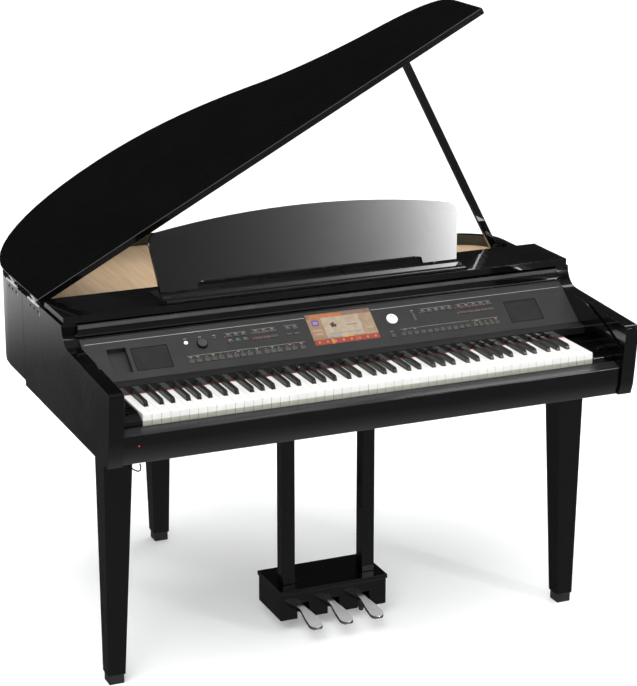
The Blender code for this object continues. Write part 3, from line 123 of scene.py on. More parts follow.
def finish(name, dark, light, least, most, scale=9.0, fine=300.0, bump=0.05, depth=0.0002,
           metallic=0.0, coat=0.0, coat_roughness=0.03, specular=0.5):
    """A finish between two colours and two degrees of gloss, with a fine bump."""
    material = bpy.data.materials.new(name)
    material.use_nodes = True
    tree = material.node_tree
    surface = tree.nodes["Principled BSDF"]
    surface.inputs["Metallic"].default_value = metallic
    surface.inputs["Coat Weight"].default_value = coat
    surface.inputs["Coat Roughness"].default_value = coat_roughness
    surface.inputs["Specular IOR Level"].default_value = specular
    wear = add(tree, "Group", node_tree=marks)
    wear.inputs["Scale"].default_value = scale
    wear.inputs["Fine"].default_value = fine
    wear.inputs["Least"].default_value = least
    wear.inputs["Most"].default_value = most
    shade = add(tree, "Mix", data_type="RGBA")
    shade.inputs[COLOUR_A].default_value = (*dark, 1)
    shade.inputs[COLOUR_B].default_value = (*light, 1)
    relief = add(tree, "Bump", Strength=bump, Distance=depth)
    tree.links.new(wear.outputs["Mask"], shade.inputs["Factor"])
    tree.links.new(shade.outputs[MIXED_COLOUR], surface.inputs["Base Color"])
    tree.links.new(wear.outputs["Roughness"], surface.inputs["Roughness"])
    tree.links.new(wear.outputs["Height"], relief.inputs["Height"])
    tree.links.new(relief.outputs["Normal"], surface.inputs["Normal"])
    return material


def smooth(mesh, angle=32.0):
    """Smooth shading, with edges sharper than the angle (degrees) kept."""
    mesh.shade_smooth()
    mesh.set_sharp_from_angle(angle=math.radians(angle))


def put(name, data):
    """A new object in the scene."""
    thing = bpy.data.objects.new(name, data)
    bpy.context.scene.collection.objects.link(thing)
    return thing


def link(name, mesh, body):
    """A new piece that rides on a body."""
    piece = put(name, mesh)
    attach(piece, body)
    return piece


EDGE_ANGLE = math.radians(30)  # an edge bent more than this is eased


def ease(piece, width, segments=2):
    """Rounds the edges of a piece over."""
    edges = piece.modifiers.new("eased edges", "BEVEL")
    edges.width = width
    edges.segments = segments
    edges.limit_method = "ANGLE"
    edges.angle_limit = EDGE_ANGLE
    edges.harden_normals = True
    return piece


SAME_POINT = 1e-6              # metres
SAME_PLANE = math.radians(0.4)


def rounded(node, width, materials, choose=None, segments=2):
    """A CAD solid with its edges rounded over, in the place of the plain one."""
    bm = bmesh.new()
    bm.from_mesh(frame["nodes"][node].data)
    bmesh.ops.remove_doubles(bm, verts=bm.verts, dist=SAME_POINT)
    bmesh.ops.dissolve_limit(bm, angle_limit=SAME_PLANE, verts=bm.verts, edges=bm.edges)
    for face in bm.faces:
        face.material_index = choose(face) if choose else 0
    mesh = bpy.data.meshes.new(node + "_finished")
    bm.to_mesh(mesh)
    bm.free()
    for layer in list(mesh.attributes):
        if layer.name in ("custom_normal", "UVMap"):
            mesh.attributes.remove(layer)
    for material in materials:
        mesh.materials.append(material)
    smooth(mesh)
    piece = link(node + "_finished", mesh, frame["nodes"][node]["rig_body"])
    if width:
        ease(piece, width, segments)
    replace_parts(piece, node)
    return piece


lacquer = finish("polished ebony lacquer", (0.0007, 0.0007, 0.0008), (0.0012, 0.0012, 0.0014),
                 0.22, 0.34, scale=6.0, fine=38.0, bump=0.008, depth=0.0008,
                 coat=1.0, coat_roughness=0.03, specular=0.08)
for side in ("left_side_panel", "right_side_panel"):
    rounded(side, 0.0016, [lacquer], segments=3)


# The rim is bent from thin boards round the tail and lacquered outside; its
# inner face, which shows under the lid, keeps a dull olive-brown paint.
rim_inside = finish("dull rim paint", (0.030, 0.027, 0.020), (0.048, 0.043, 0.033), 0.55, 0.7,
                    scale=14.0, fine=220.0, bump=0.15)
rim_low, rim_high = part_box("rim")
rim_middle = Vector(((rim_low.x + rim_high.x) / 2, rim_low.y, 0.0))


def rim_side(face):
    """1 on the faces that look in towards the soundboard."""
    flat = Vector((face.normal.x, face.normal.y, 0.0))
    inward = rim_middle - face.calc_center_median()
    inward.z = 0.0
    return 1 if flat.length > 0.5 and flat.dot(inward) > 0 else 0


rounded("rim", 0.0014, [lacquer, rim_inside], rim_side, segments=3)


# The underside is plain. Key bed and bottom board are thick fibreboard, painted
# satin black on every side and screwed up into the case.
satin = finish("satin black paint", (0.010, 0.010, 0.010), (0.017, 0.017, 0.018), 0.42, 0.55,
               scale=20.0, fine=500.0, bump=0.12)
for board in ("key_bed", "bottom_board"):
    rounded(board, 0.0008, [satin])


# The key slip closes the keyboard's front, and a block closes each of its
# ends. All three are lacquered, the flat top of the slip to a satin; a screw
# holds each block down on the bed.
slip_satin = finish("satin lacquer", (0.010, 0.0105, 0.0115), (0.014, 0.0145, 0.0155), 0.22, 0.28,
                    scale=8.0, fine=400.0, bump=0.02)


def slip_part(face):
    """1 on the flat top of the slip."""
    return 1 if face.normal.z > 0.8 else 0


rounded("key_slip", 0.0020, [lacquer, slip_satin], slip_part, segments=3)
for rail in ("left_key_block", "right_key_block"):
    rounded(rail, 0.0020, [lacquer], segments=3)


def piece_of(name, bm, materials, body, angle=32.0):
    """A finished piece from a bmesh whose place is already in its points."""
    mesh = bpy.data.meshes.new(name)
    bmesh.ops.recalc_face_normals(bm, faces=bm.faces)
    bm.to_mesh(mesh)
    bm.free()
    for material in materials:
        mesh.materials.append(material)
    smooth(mesh, angle)
    piece = link(name, mesh, body)
    return piece


def at(x, y, z):
    """A place given from the middle of the keyboard and the white keys' front."""
    return Vector((keyboard_x + x, keyboard_y + y, z))


def add_block(bm, low, high, place=Matrix()):
    """A box between two corners."""
    low, high = Vector(low), Vector(high)
    middle = Matrix.Translation((low + high) / 2)
    size = Matrix.Diagonal((*(high - low), 1.0))
    return bmesh.ops.create_cube(bm, size=1.0, matrix=place @ middle @ size)


def add_disc(bm, radius, height, place=Matrix(), top=None, segments=24):
    """A round plate that stands on the plane of its place."""
    return bmesh.ops.create_cone(
        bm, cap_ends=True, segments=segments, radius1=radius,
        radius2=radius if top is None else top, depth=height,
        matrix=place @ Matrix.Translation((0, 0, height / 2)))


def add_screw(bm, radius, place):
    """A low screw head with a cross on it, all in shares of its radius."""
    add_disc(bm, radius, radius * 0.30, place, top=radius * 0.8, segments=20)
    for turn in (0, 90):
        add_block(bm, (-radius * 0.55, -radius * 0.11, radius * 0.30),
                  (radius * 0.55, radius * 0.11, radius * 0.33),
                  place @ Matrix.Rotation(math.radians(turn), 4, "Z"))


black_metal = finish("blackened steel", (0.010, 0.010, 0.011), (0.024, 0.024, 0.025), 0.28, 0.42,
                     scale=60.0, fine=900.0, bump=0.1, metallic=0.6)
bm = bmesh.new()
for side in (-0.643, 0.646):
    add_screw(bm, 0.0042, Matrix.Translation(at(side, 0.030, 0.766)))
piece_of("key_block_screws", bm, [black_metal], "case")


# The soundboard is a sheet of close-grained spruce under thin clear varnish,
# laid inside the rim with its grain running a little askew towards the tail.
grain, given, result = start_group(
    "wood grain", [("Pitch", "Float"), ("Light", "Color"), ("Dark", "Color")],
    [("Colour", "Color"), ("Height", "Float")])
place = add(grain, "TexCoord")
ALONG, ASKEW = 0.045, 0.2  # how far the rings are drawn out, and their turn
stretch = add(grain, "Mapping", Scale=(1.0, ALONG, 1.0), Rotation=(0.0, 0.0, ASKEW))
rings = add(grain, "TexNoise", Detail=6.0, Roughness=0.65)
drift = add(grain, "TexNoise", Scale=3.0, Detail=3.0)
blend = add(grain, "Math", operation="MULTIPLY_ADD")
blend.inputs[1].default_value = 0.35  # share of the slow drift
bands = add(grain, "ValToRGB")
bands.color_ramp.elements[0].position = 0.42
bands.color_ramp.elements[1].position = 0.86
tint = add(grain, "Mix", data_type="RGBA")
grain.links.new(place.outputs["Object"], stretch.inputs["Vector"])
grain.links.new(place.outputs["Object"], drift.inputs["Vector"])
grain.links.new(stretch.outputs["Vector"], rings.inputs["Vector"])
grain.links.new(given.outputs["Pitch"], rings.inputs["Scale"])
grain.links.new(drift.outputs["Fac"], blend.inputs[0])
grain.links.new(rings.outputs["Fac"], blend.inputs[2])
grain.links.new(blend.outputs["Value"], bands.inputs["Fac"])
grain.links.new(bands.outputs["Color"], tint.inputs["Factor"])
grain.links.new(given.outputs["Light"], tint.inputs[COLOUR_A])
grain.links.new(given.outputs["Dark"], tint.inputs[COLOUR_B])
grain.links.new(tint.outputs[MIXED_COLOUR], result.inputs["Colour"])
grain.links.new(bands.outputs["Color"], result.inputs["Height"])


def wood(name, light, dark, pitch, roughness, coat):
    """Planed timber with its grain along Y."""
    material = bpy.data.materials.new(name)
    material.use_nodes = True
    tree = material.node_tree
    surface = tree.nodes["Principled BSDF"]
    surface.inputs["Roughness"].default_value = roughness
    surface.inputs["Coat Weight"].default_value = coat
    surface.inputs["Coat Roughness"].default_value = 0.2
    figure = add(tree, "Group", node_tree=grain)
    figure.inputs["Pitch"].default_value = pitch
    figure.inputs["Light"].default_value = (*light, 1)
    figure.inputs["Dark"].default_value = (*dark, 1)
    relief = add(tree, "Bump", Strength=0.15, Distance=0.0004)
    tree.links.new(figure.outputs["Colour"], surface.inputs["Base Color"])
    tree.links.new(figure.outputs["Height"], relief.inputs["Height"])
    tree.links.new(relief.outputs["Normal"], surface.inputs["Normal"])
    return material


spruce = wood("varnished spruce", (0.74, 0.55, 0.35), (0.54, 0.36, 0.21), 90.0, 0.45, 0.4)
rounded("soundboard", 0, [spruce])


# The fixed front part of the top carries the music rest. It is one lacquered
# board, with the rail that closes the case behind the panel.
rounded("top_board", 0.0012, [lacquer], segments=3)


# White keys are moulded in one with their fronts, slightly warm and satin on
# top so that the fingers grip. A painted shade darkens a band low on each
# front, just above where its cover ends and the plain body of the key begins.
ivory = finish("white key plastic", (0.70, 0.695, 0.67), (0.725, 0.72, 0.695), 0.30, 0.38,
               scale=12.0, fine=900.0, bump=0.02)
key_shade = finish("key body plastic", (0.40, 0.39, 0.36), (0.48, 0.47, 0.44), 0.4, 0.5)
KEY_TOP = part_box("middle_c_key")[1].z
SHADE_START, SHADE_END = 0.0160, 0.0185  # below the top of the key
COVER_END = 0.0235
# A darker colour is mixed in low on each key front by height, as painted shade.
tree = ivory.node_tree
where = add(tree, "TexCoord")
split = add(tree, "SeparateXYZ")
height = add(tree, "MapRange", From_Min=KEY_TOP - SHADE_END, From_Max=KEY_TOP - SHADE_START)
foot = add(tree, "Mix", data_type="RGBA")
foot.inputs[COLOUR_A].default_value = (0.36, 0.36, 0.30, 1)
tree.links.new(where.outputs["Object"], split.inputs["Vector"])
tree.links.new(split.outputs["Z"], height.inputs["Value"])
tree.links.new(height.outputs["Result"], foot.inputs["Factor"])
surface = tree.nodes["Principled BSDF"]
tree.links.new(surface.inputs["Base Color"].links[0].from_socket, foot.inputs[COLOUR_B])
tree.links.new(foot.outputs[MIXED_COLOUR], surface.inputs["Base Color"])


def key_part(face):
    """1 on the lower body of a key, under the moulded white cover."""
    return 1 if face.calc_center_median().z < KEY_TOP - COVER_END else 0


for keys in ("white_keys_low", "middle_c_key", "white_keys_high"):
    rounded(keys, 0.0007, [ivory, key_shade], key_part)


# Black keys have a matt, faintly grey top like ebony, worn smooth along the
# edges. Their sloped noses end just above the whites.
ebony = finish("black key plastic", (0.007, 0.0075, 0.006), (0.013, 0.0135, 0.011), 0.28, 0.40,
               scale=120.0, fine=700.0, bump=0.06, specular=0.4)
for keys in ("black_keys_low", "middle_c_sharp_key", "black_keys_high"):
    rounded(keys, 0.0011, [ebony], segments=3)


# Behind the keys run a strip of crimson felt and, above it, an upright strip
# of glossy black plastic with a matt top. The key frame below is pale timber.
felt = finish("crimson felt", (0.17, 0.003, 0.018), (0.27, 0.006, 0.032), 0.9, 1.0,
              scale=700.0, fine=2400.0, bump=0.6, depth=0.0006)
felt.node_tree.nodes["Principled BSDF"].inputs["Sheen Weight"].default_value = 0.2
rounded("key_felt", 0.0008, [felt], segments=3)
gloss_plastic = finish("glossy black plastic", (0.010, 0.010, 0.010), (0.014, 0.014, 0.014),
                       0.06, 0.10, scale=12.0, fine=90.0, bump=0.02, coat=0.5)
STRIP_HALF, STRIP_SHOULDER = 0.6756, 0.790
bm = bmesh.new()
outline = [bm.verts.new(at(-STRIP_HALF, y, z)) for y, z in (
    (0.1500, 0.7713), (0.1500, 0.7888), (0.1514, 0.7910), (0.1545, 0.7924), (0.1806, 0.7945),
    (0.1806, 0.7900), (0.1560, 0.7713))]
made = bmesh.ops.extrude_face_region(bm, geom=[bm.faces.new(outline)])
far_end = [part for part in made["geom"] if isinstance(part, bmesh.types.BMVert)]
bmesh.ops.translate(bm, verts=far_end, vec=(2 * STRIP_HALF, 0, 0))
for face in bm.faces:
    if face.calc_center_median().z > STRIP_SHOULDER:
        face.material_index = 1
matt_black = finish("matt black plastic", (0.009, 0.009, 0.009), (0.013, 0.013, 0.013), 0.55, 0.65,
                    scale=30.0, fine=1200.0, bump=0.1, specular=0.2)
strip = piece_of("key_strip_face", bm, [gloss_plastic, matt_black], "case")
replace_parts(strip, "key_strip")
frame_wood = wood("key frame timber", (0.60, 0.42, 0.25), (0.42, 0.26, 0.13), 60.0, 0.6, 0.0)
rounded("key_frame", 0.0006, [frame_wood])


# The control panel is moulded in dark grey plastic with a fine spark-eroded
# grain. Its hood, just ahead of the top board, is smoother and painted darker, as the shade of the
# key cover above it.
panel_grey = finish("grained panel plastic", (0.019, 0.0195, 0.0185), (0.024, 0.0245, 0.0235),
                    0.46, 0.56, scale=18.0, fine=1500.0, bump=0.16, specular=0.35)
# The hood's darker grey is painted shade from the key cover above it.
hood_painted_shade = finish("hood plastic", (0.009, 0.0095, 0.009), (0.013, 0.0135, 0.013), 0.34, 0.42,
                   scale=18.0, fine=1300.0, bump=0.10, specular=0.35)
panel_slope = math.radians(37.16)
panel = Matrix.Translation(at(0.0, 0.181, 0.795)) @ Matrix.Rotation(panel_slope, 4, "X")
panel_normal = Vector((0.0, -math.sin(panel_slope), math.cos(panel_slope)))
HOOD_FOOT = 0.862


def panel_part(face):
    """1 on the hood above the sloped panel, which takes the painted shade."""
    off_slope = face.normal.dot(panel_normal) < 0.97
    return 1 if off_slope and face.calc_center_median().z > HOOD_FOOT else 0


rounded("control_panel", 0.0004, [panel_grey, hood_painted_shade], panel_part)


# Thin light lines are printed on the panel, one along its top edge and one
# above each group of buttons. Short plain marks stand above the buttons.
print_light = finish("pale print", (0.42, 0.42, 0.40), (0.50, 0.50, 0.48), 0.5, 0.6)
LINE_HEIGHT, MARK_HEIGHT, MARK_HALF, MARK_WIDTH = 0.00012, 0.0001, 0.0040, 0.0009


def in_rows(rows):
    """Places (x, u) on the panel from rows of first x, step, count and u."""
    return [(x + step * i, u) for x, step, count, u in rows for i in range(count)]


lines = [(-0.668, -0.079, 0.1190, 0.0009), (0.109, 0.667, 0.1190, 0.0009),
         (-0.419, -0.101, 0.0475, 0.0004), (-0.230, -0.166, 0.1035, 0.0004),
         (-0.302, -0.246, 0.1020, 0.0004), (-0.140, -0.104, 0.1035, 0.0004),
         (0.168, 0.366, 0.0475, 0.0004), (0.374, 0.450, 0.0475, 0.0004),
         (0.244, 0.335, 0.1030, 0.0004), (0.349, 0.450, 0.1035, 0.0004)]
mark_rows = [(-0.411, 0.019, 2, 0.0440), (-0.3515, 0, 1, 0.0440), (-0.283, 0, 1, 0.0440),
             (-0.234, 0, 1, 0.0440), (-0.1925, 0, 1, 0.0440), (-0.1435, 0, 1, 0.0440),
             (-0.112, 0, 1, 0.0440), (-0.410, 0, 1, 0.1010), (-0.370, 0, 1, 0.1015),
             (-0.332, 0, 1, 0.1010), (-0.294, 0.0205, 3, 0.0985), (-0.294, 0.0205, 3, 0.0815),
             (-0.220, 0.0225, 3, 0.0995), (-0.132, 0.020, 2, 0.0985), (0.142, 0, 1, 0.0440),
             (0.180, 0, 1, 0.0440), (0.208, 0, 1, 0.0440), (0.388, 0, 1, 0.0440),
             (0.444, 0, 1, 0.0440), (0.220, 0, 1, 0.1010), (0.250, 0.0195, 5, 0.0985),
             (0.357, 0.0213, 5, 0.0990)]
bm = bmesh.new()
for start, end, u, width in lines:
    add_block(bm, (start, u, 0.0), (end, u + width, LINE_HEIGHT), panel)
for x, u in in_rows(mark_rows):
    add_block(bm, (x - MARK_HALF, u, 0.0), (x + MARK_HALF, u + MARK_WIDTH, MARK_HEIGHT), panel)
piece_of("panel_lines", bm, [print_light], "case")


# Small domed lamps stand beside the buttons, red or green. A larger red one is
# set low in the front of the case, a green one in the strip behind the keys.
LAMP_RADIUS, LAMP_TIP, LAMP_HEIGHT = 0.0010, 0.0007, 0.0007


def lamp(name, colour, glow):
    """A clear coloured cap, lit from behind."""
    dim = tuple(0.6 * channel for channel in colour)
    material = finish(name, dim, colour, 0.12, 0.2, scale=300.0, coat=1.0)
    surface = material.node_tree.nodes["Principled BSDF"]
    surface.inputs["Emission Color"].default_value = (*colour, 1)
    surface.inputs["Emission Strength"].default_value = glow
    return material


red_lamp = lamp("red lamp", (0.85, 0.03, 0.08), 1.6)
green_lamp = lamp("green lamp", (0.42, 0.50, 0.06), 0.7)
LOW, MID, HIGH = 0.0405, 0.076, 0.093  # the three heights of lamps on the panel
red_rows = [(-0.411, 0.019, 2, LOW), (-0.311, 0, 1, LOW), (-0.3045, 0, 1, HIGH),
            (0.444, 0, 1, LOW), (-0.153, 0.019, 2, LOW), (-0.112, 0, 1, LOW),
            (-0.2322, 0.0225, 3, HIGH + 0.0006), (-0.2322, 0.0225, 3, MID + 0.0006),
            (0.3455, 0.0213, 5, HIGH), (0.3455, 0.0213, 5, MID), (0.218, 0, 1, 0.0965),
            (0.241, 0, 1, HIGH)]
green_rows = [(-0.370, 0.0185, 3, LOW), (-0.2926, 0.0184, 3, LOW), (-0.234, 0, 1, LOW),
              (-0.210, 0.0175, 3, LOW), (0.380, 0.016, 4, LOW)]
facing = Matrix.Rotation(math.radians(90), 4, "X")
for name, rows, material, spot, radius, height, top in (
        ("red_lamps", red_rows, red_lamp, (-0.635, -0.0334, 0.702), 0.0016, 0.0010, 0.0011),
        ("green_lamps", green_rows, green_lamp, (-0.147, 0.1501, 0.7815), 0.0013, 0.0008, 0.0009)):
    bm = bmesh.new()
    for x, u in in_rows(rows):
        spot_on_panel = panel @ Matrix.Translation((x, u, 0))
        add_disc(bm, LAMP_RADIUS, LAMP_HEIGHT, spot_on_panel, LAMP_TIP, segments=12)
    add_disc(bm, radius, height, Matrix.Translation(at(*spot)) @ facing, top, segments=16)
    piece_of(name, bm, [material], "case")


# The touch screen lies under flat glass. What it shows is a plain layout of
# blocks: a header, two side columns, a middle field and a bar of round keys.
picture = bpy.data.materials.new("lit screen")
picture.use_nodes = True
tree = picture.node_tree
surface = tree.nodes["Principled BSDF"]
surface.inputs["Roughness"].default_value = 0.3
surface.inputs["Coat Weight"].default_value = 1.0
surface.inputs["Coat Roughness"].default_value = 0.02
surface.inputs["Base Color"].default_value = (0.01, 0.01, 0.01, 1)
surface.inputs["Emission Strength"].default_value = 1.0
hue = add(tree, "VertexColor", layer_name="tint")
haze = add(tree, "Group", node_tree=marks)
haze.inputs["Scale"].default_value = 60.0
haze.inputs["Fine"].default_value = 900.0
wash = add(tree, "Mix", data_type="RGBA", blend_type="MULTIPLY")
wash.inputs[COLOUR_B].default_value = (0.80, 0.74, 0.68, 1)
tree.links.new(haze.outputs["Mask"], wash.inputs["Factor"])
tree.links.new(hue.outputs["Color"], wash.inputs[COLOUR_A])
tree.links.new(wash.outputs[MIXED_COLOUR], surface.inputs["Emission Color"])
screen_low_x, screen_high_x, screen_low_u, screen_high_u = -0.0757, 0.1057, 0.0303, 0.1277
screen_x = screen_high_x - screen_low_x
screen_u = screen_high_u - screen_low_u
PICTURE_FOOT = 0.0001  # over the glass, and each block a little over the last
# Left, right, bottom and top in shares of the screen, and a colour.
blocks = [
    (0.0, 1.0, 0.0, 1.0, (0.36, 0.24, 0.15)),        # ground
    (0.0, 1.0, 0.86, 1.0, (0.28, 0.17, 0.12)),       # header
    (0.05, 0.55, 0.87, 0.97, (0.62, 0.20, 0.05)),    # its lit part
    (0.0, 0.21, 0.16, 0.86, (0.40, 0.25, 0.15)),     # left column
    (0.06, 0.17, 0.62, 0.80, (0.16, 0.08, 0.36)),    # a framed picture
    (0.08, 0.15, 0.66, 0.76, (0.40, 0.30, 0.55)),
    (0.04, 0.19, 0.44, 0.50, (0.52, 0.38, 0.26)),    # two bars under it
    (0.06, 0.17, 0.32, 0.37, (0.52, 0.38, 0.26)),
    (0.22, 0.80, 0.20, 0.86, (0.56, 0.45, 0.33)),    # middle field
    (0.56, 0.74, 0.53, 0.56, (0.30, 0.22, 0.16)),    # a line in it
    (0.26, 0.76, 0.30, 0.33, (0.34, 0.33, 0.36)),    # a slider
    (0.45, 0.62, 0.16, 0.22, (0.75, 0.42, 0.12)),    # an amber and a grey tab
    (0.22, 0.44, 0.20, 0.27, (0.42, 0.42, 0.45)),
    (0.81, 1.0, 0.18, 0.86, (0.47, 0.33, 0.22)),     # right column
    (0.86, 0.95, 0.36, 0.40, (0.62, 0.48, 0.34)),    # a bar in it
    (0.0, 1.0, 0.0, 0.16, (0.42, 0.05, 0.02)),       # bar of round keys
    (0.26, 0.30, 0.0, 0.16, (0.75, 0.32, 0.05)),     # its two dividers
    (0.63, 0.66, 0.0, 0.16, (0.60, 0.12, 0.03))]
bm = bmesh.new()
tint = bm.loops.layers.float_color.new("tint")


def on_screen(across, up, height):
    """A place in the panel's frame from shares of the screen's width and height."""
    return screen_low_x + across * screen_x, screen_low_u + up * screen_u, height


def paint_new(bm, old, colour):
    """Tints the faces that have come since the old ones."""
    for face in bm.faces:
        if face not in old:
            for loop in face.loops:
                loop[tint] = (*colour, 1)


for i, (left, right, bottom, top, colour) in enumerate(blocks):
    old = set(bm.faces)
    add_block(bm, on_screen(left, bottom, PICTURE_FOOT),
              on_screen(right, top, 0.00012 + 0.00002 * i), panel)
    paint_new(bm, old, colour)
for i in range(8):
    old = set(bm.faces)
    spot = panel @ Matrix.Translation(on_screen(0.07 + 0.124 * i, 0.08, PICTURE_FOOT))
    add_disc(bm, 0.0032, 0.0006, spot, segments=16)
    paint_new(bm, old, (0.66, 0.30, 0.20))
# The picture of a small grand piano in the middle field: case, keys, legs, lid.
old = set(bm.faces)
icon = panel @ Matrix.Translation(on_screen(0.38, 0.58, PICTURE_FOOT))
add_disc(bm, 0.0075, 0.0006, icon @ Matrix.Diagonal((1.0, 0.55, 1.0, 1.0)), segments=16)
for low, high in (((-0.0080, -0.0050), (0.0020, -0.0020)), ((-0.0060, -0.0090), (-0.0048, -0.0030)),
                  ((0.0030, -0.0080), (0.0042, -0.0020))):
    add_block(bm, (*low, 0.0), (*high, 0.0006), icon)
add_block(bm, (-0.0070, 0.0040, 0.0), (0.0060, 0.0090, 0.0006), icon @ Matrix.Rotation(0.5, 4, "Z"))
paint_new(bm, old, (0.05, 0.035, 0.03))
piece_of("screen_picture", bm, [picture], "case")
glass = finish("dark screen glass", (0.012, 0.012, 0.013), (0.016, 0.016, 0.017), 0.05, 0.08,
               coat=1.0)
rounded("screen", 0.0004, [glass])


# A loudspeaker sits at each end of the panel behind a sheet of perforated
# steel, painted a little darker than the panel. A black seam round it is painted shade standing in
# for the gap there.
mesh_paint = finish("speaker mesh paint", (0.017, 0.0175, 0.0165), (0.021, 0.0215, 0.0205),
                    0.5, 0.6, scale=40.0, fine=800.0, bump=0.1, specular=0.3)
# The seam's near-black is painted shade for the gap round the grille.
seam_painted_shade = finish("grille seam", (0.003, 0.003, 0.003), (0.004, 0.004, 0.004), 0.7, 0.8,
                    specular=0.1)
cone_black = finish("paper cone", (0.012, 0.012, 0.012), (0.022, 0.022, 0.022), 0.8, 0.9,
                    scale=90.0, fine=1200.0, bump=0.4)
GRILLE_U = 0.058
SEAM_WIDE, SEAM_TALL, HOLE_WIDE, HOLE_TALL = 0.048, 0.035, 0.0465, 0.0335
WIRE_HALF, SHEET = 0.00038, 0.0006
for side, x in (("left", -0.5085), ("right", 0.5335)):
    bm = bmesh.new()
    spot = panel @ Matrix.Translation((x, GRILLE_U, -0.0004))
    bmesh.ops.create_grid(bm, x_segments=58, y_segments=41, size=0.5,
                          matrix=spot @ Matrix.Diagonal((0.0932, 0.0672, 1.0, 1.0)))
    holes = list(bm.faces)
    bmesh.ops.inset_individual(bm, faces=holes, thickness=WIRE_HALF, use_even_offset=True)
    bmesh.ops.delete(bm, geom=holes, context="FACES")
    sheet = piece_of(side + "_speaker_mesh", bm, [mesh_paint], "case")
    sheet.modifiers.new("sheet", "SOLIDIFY").thickness = SHEET
    bm = bmesh.new()
    spot = panel @ Matrix.Translation((x, GRILLE_U, 0.0))
    for low, high in (((-SEAM_WIDE, -SEAM_TALL), (SEAM_WIDE, -HOLE_TALL)),
                      ((-SEAM_WIDE, HOLE_TALL), (SEAM_WIDE, SEAM_TALL)),
                      ((-SEAM_WIDE, -HOLE_TALL), (-HOLE_WIDE, HOLE_TALL)),
                      ((HOLE_WIDE, -HOLE_TALL), (SEAM_WIDE, HOLE_TALL))):
        add_block(bm, (*low, -0.0020), (*high, 0.0001), spot)
    seam = piece_of(side + "_speaker_border", bm, [seam_painted_shade], "case")
    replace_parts(ease(seam, 0.0003), side + "_speaker_grille")
    for material_slot in frame["nodes"][side + "_panel_speaker"].material_slots:
        material_slot.material = cone_black


# The buttons are dark grey caps with softly rounded edges, moulded in rubber on
# one keypad behind each half of the panel.
cap_grey = finish("button caps", (0.042, 0.044, 0.042), (0.054, 0.056, 0.054), 0.35, 0.45,
                  scale=50.0, fine=1200.0, bump=0.06)
for keypad in ("buttons_left", "buttons_right"):
    rounded(keypad, 0.0006, [cap_grey], segments=3)


# The power button is a round white plastic cap, lit faintly from inside. It
# moves in a dark ring that is pressed into the panel.
white_cap = finish("white plastic", (0.74, 0.75, 0.75), (0.82, 0.83, 0.83), 0.18, 0.26,
                   scale=60.0, fine=700.0, bump=0.03, coat=0.4)
surface = white_cap.node_tree.nodes["Principled BSDF"]
surface.inputs["Emission Color"].default_value = (1, 1, 1, 1)
surface.inputs["Emission Strength"].default_value = 0.08
rounded("power_button", 0.0008, [white_cap], segments=3)
bm = bmesh.new()
POWER_RING, RING_WALL = 0.0008, 0.0012  # its height and its thickness
spot = panel @ Matrix.Translation((-0.410, 0.089, 0.0))
bmesh.ops.create_cone(bm, cap_ends=False, segments=40, radius1=0.0078, radius2=0.0070,
                      depth=POWER_RING,
                      matrix=spot @ Matrix.Translation((0, 0, POWER_RING / 2)))
ring = piece_of("power_ring", bm, [gloss_plastic], "case", angle=60)
ring.modifiers.new("ring", "SOLIDIFY").thickness = RING_WALL


# The volume dial is a black grooved ring round a flat grey disc; the data dial
# is a white disc with a finger dimple near its upper edge. Behind them lies the
# panel's circuit board, and the main one lies in the case.
ROUND = 56  # sides of a smooth knob
DIAL_FOOT, RING_HEIGHT = 0.0009, 0.0064


def add_knob(bm, radius, height, place, teeth, cut):
    """A round knob that tapers a little, with grooves up its side if it has teeth."""
    count = teeth * 4 if teeth else ROUND
    made = bmesh.ops.create_cone(bm, cap_ends=True, segments=count, radius1=radius,
                                 radius2=radius * 0.97, depth=height)
    for vert in made["verts"]:
        turn = round(math.degrees(math.atan2(vert.co.y, vert.co.x)) * count / 360) % 4
        if teeth and turn >= 2:
            vert.co.x *= 1 - cut / radius
            vert.co.y *= 1 - cut / radius
        vert.co.z += height / 2
    bmesh.ops.transform(bm, matrix=place, verts=bm.verts)


dial_top = finish("dial top", (0.036, 0.037, 0.036), (0.046, 0.047, 0.046), 0.3, 0.4,
                  scale=40.0, fine=900.0, bump=0.05)
spot = panel @ Matrix.Translation((-0.370, 0.080, DIAL_FOOT))
bm = bmesh.new()
add_knob(bm, 0.0142, RING_HEIGHT, spot, teeth=36, cut=0.0006)
ring_faces = set(bm.faces)
add_disc(bm, 0.0122, 0.0009, spot @ Matrix.Translation((0, 0, RING_HEIGHT)), 0.0114,
         segments=ROUND)
for face in bm.faces:
    face.material_index = 0 if face in ring_faces else 1
dial = piece_of("volume_knob", bm, [gloss_plastic, dial_top], "volume_dial")
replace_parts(dial, "volume_dial")
bm = bmesh.new()
spot = panel @ Matrix.Translation((0.156, 0.082, DIAL_FOOT))
add_knob(bm, 0.0152, 0.0034, spot, teeth=0, cut=0.0)
# The data dial shares the white plastic of the power cap, so it also glows faintly: painted light,
# as it has no lamp.
dial = ease(piece_of("data_knob", bm, [white_cap], "data_dial"), 0.0006, 3)
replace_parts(dial, "data_dial")
bm = bmesh.new()
spot = panel @ Matrix.Translation((0.156, 0.0905, 0.0042))
add_disc(bm, 0.0030, 0.0004, spot, 0.0034, segments=28)
ease(piece_of("data_knob_dimple", bm, [key_shade], "data_dial"), 0.0001)
board_green = finish("circuit board", (0.010, 0.055, 0.022), (0.016, 0.085, 0.032), 0.3, 0.5,
                     scale=80.0, fine=600.0, bump=0.2)
for board in ("panel_circuit_board", "main_circuit_board"):
    rounded(board, 0, [board_green])


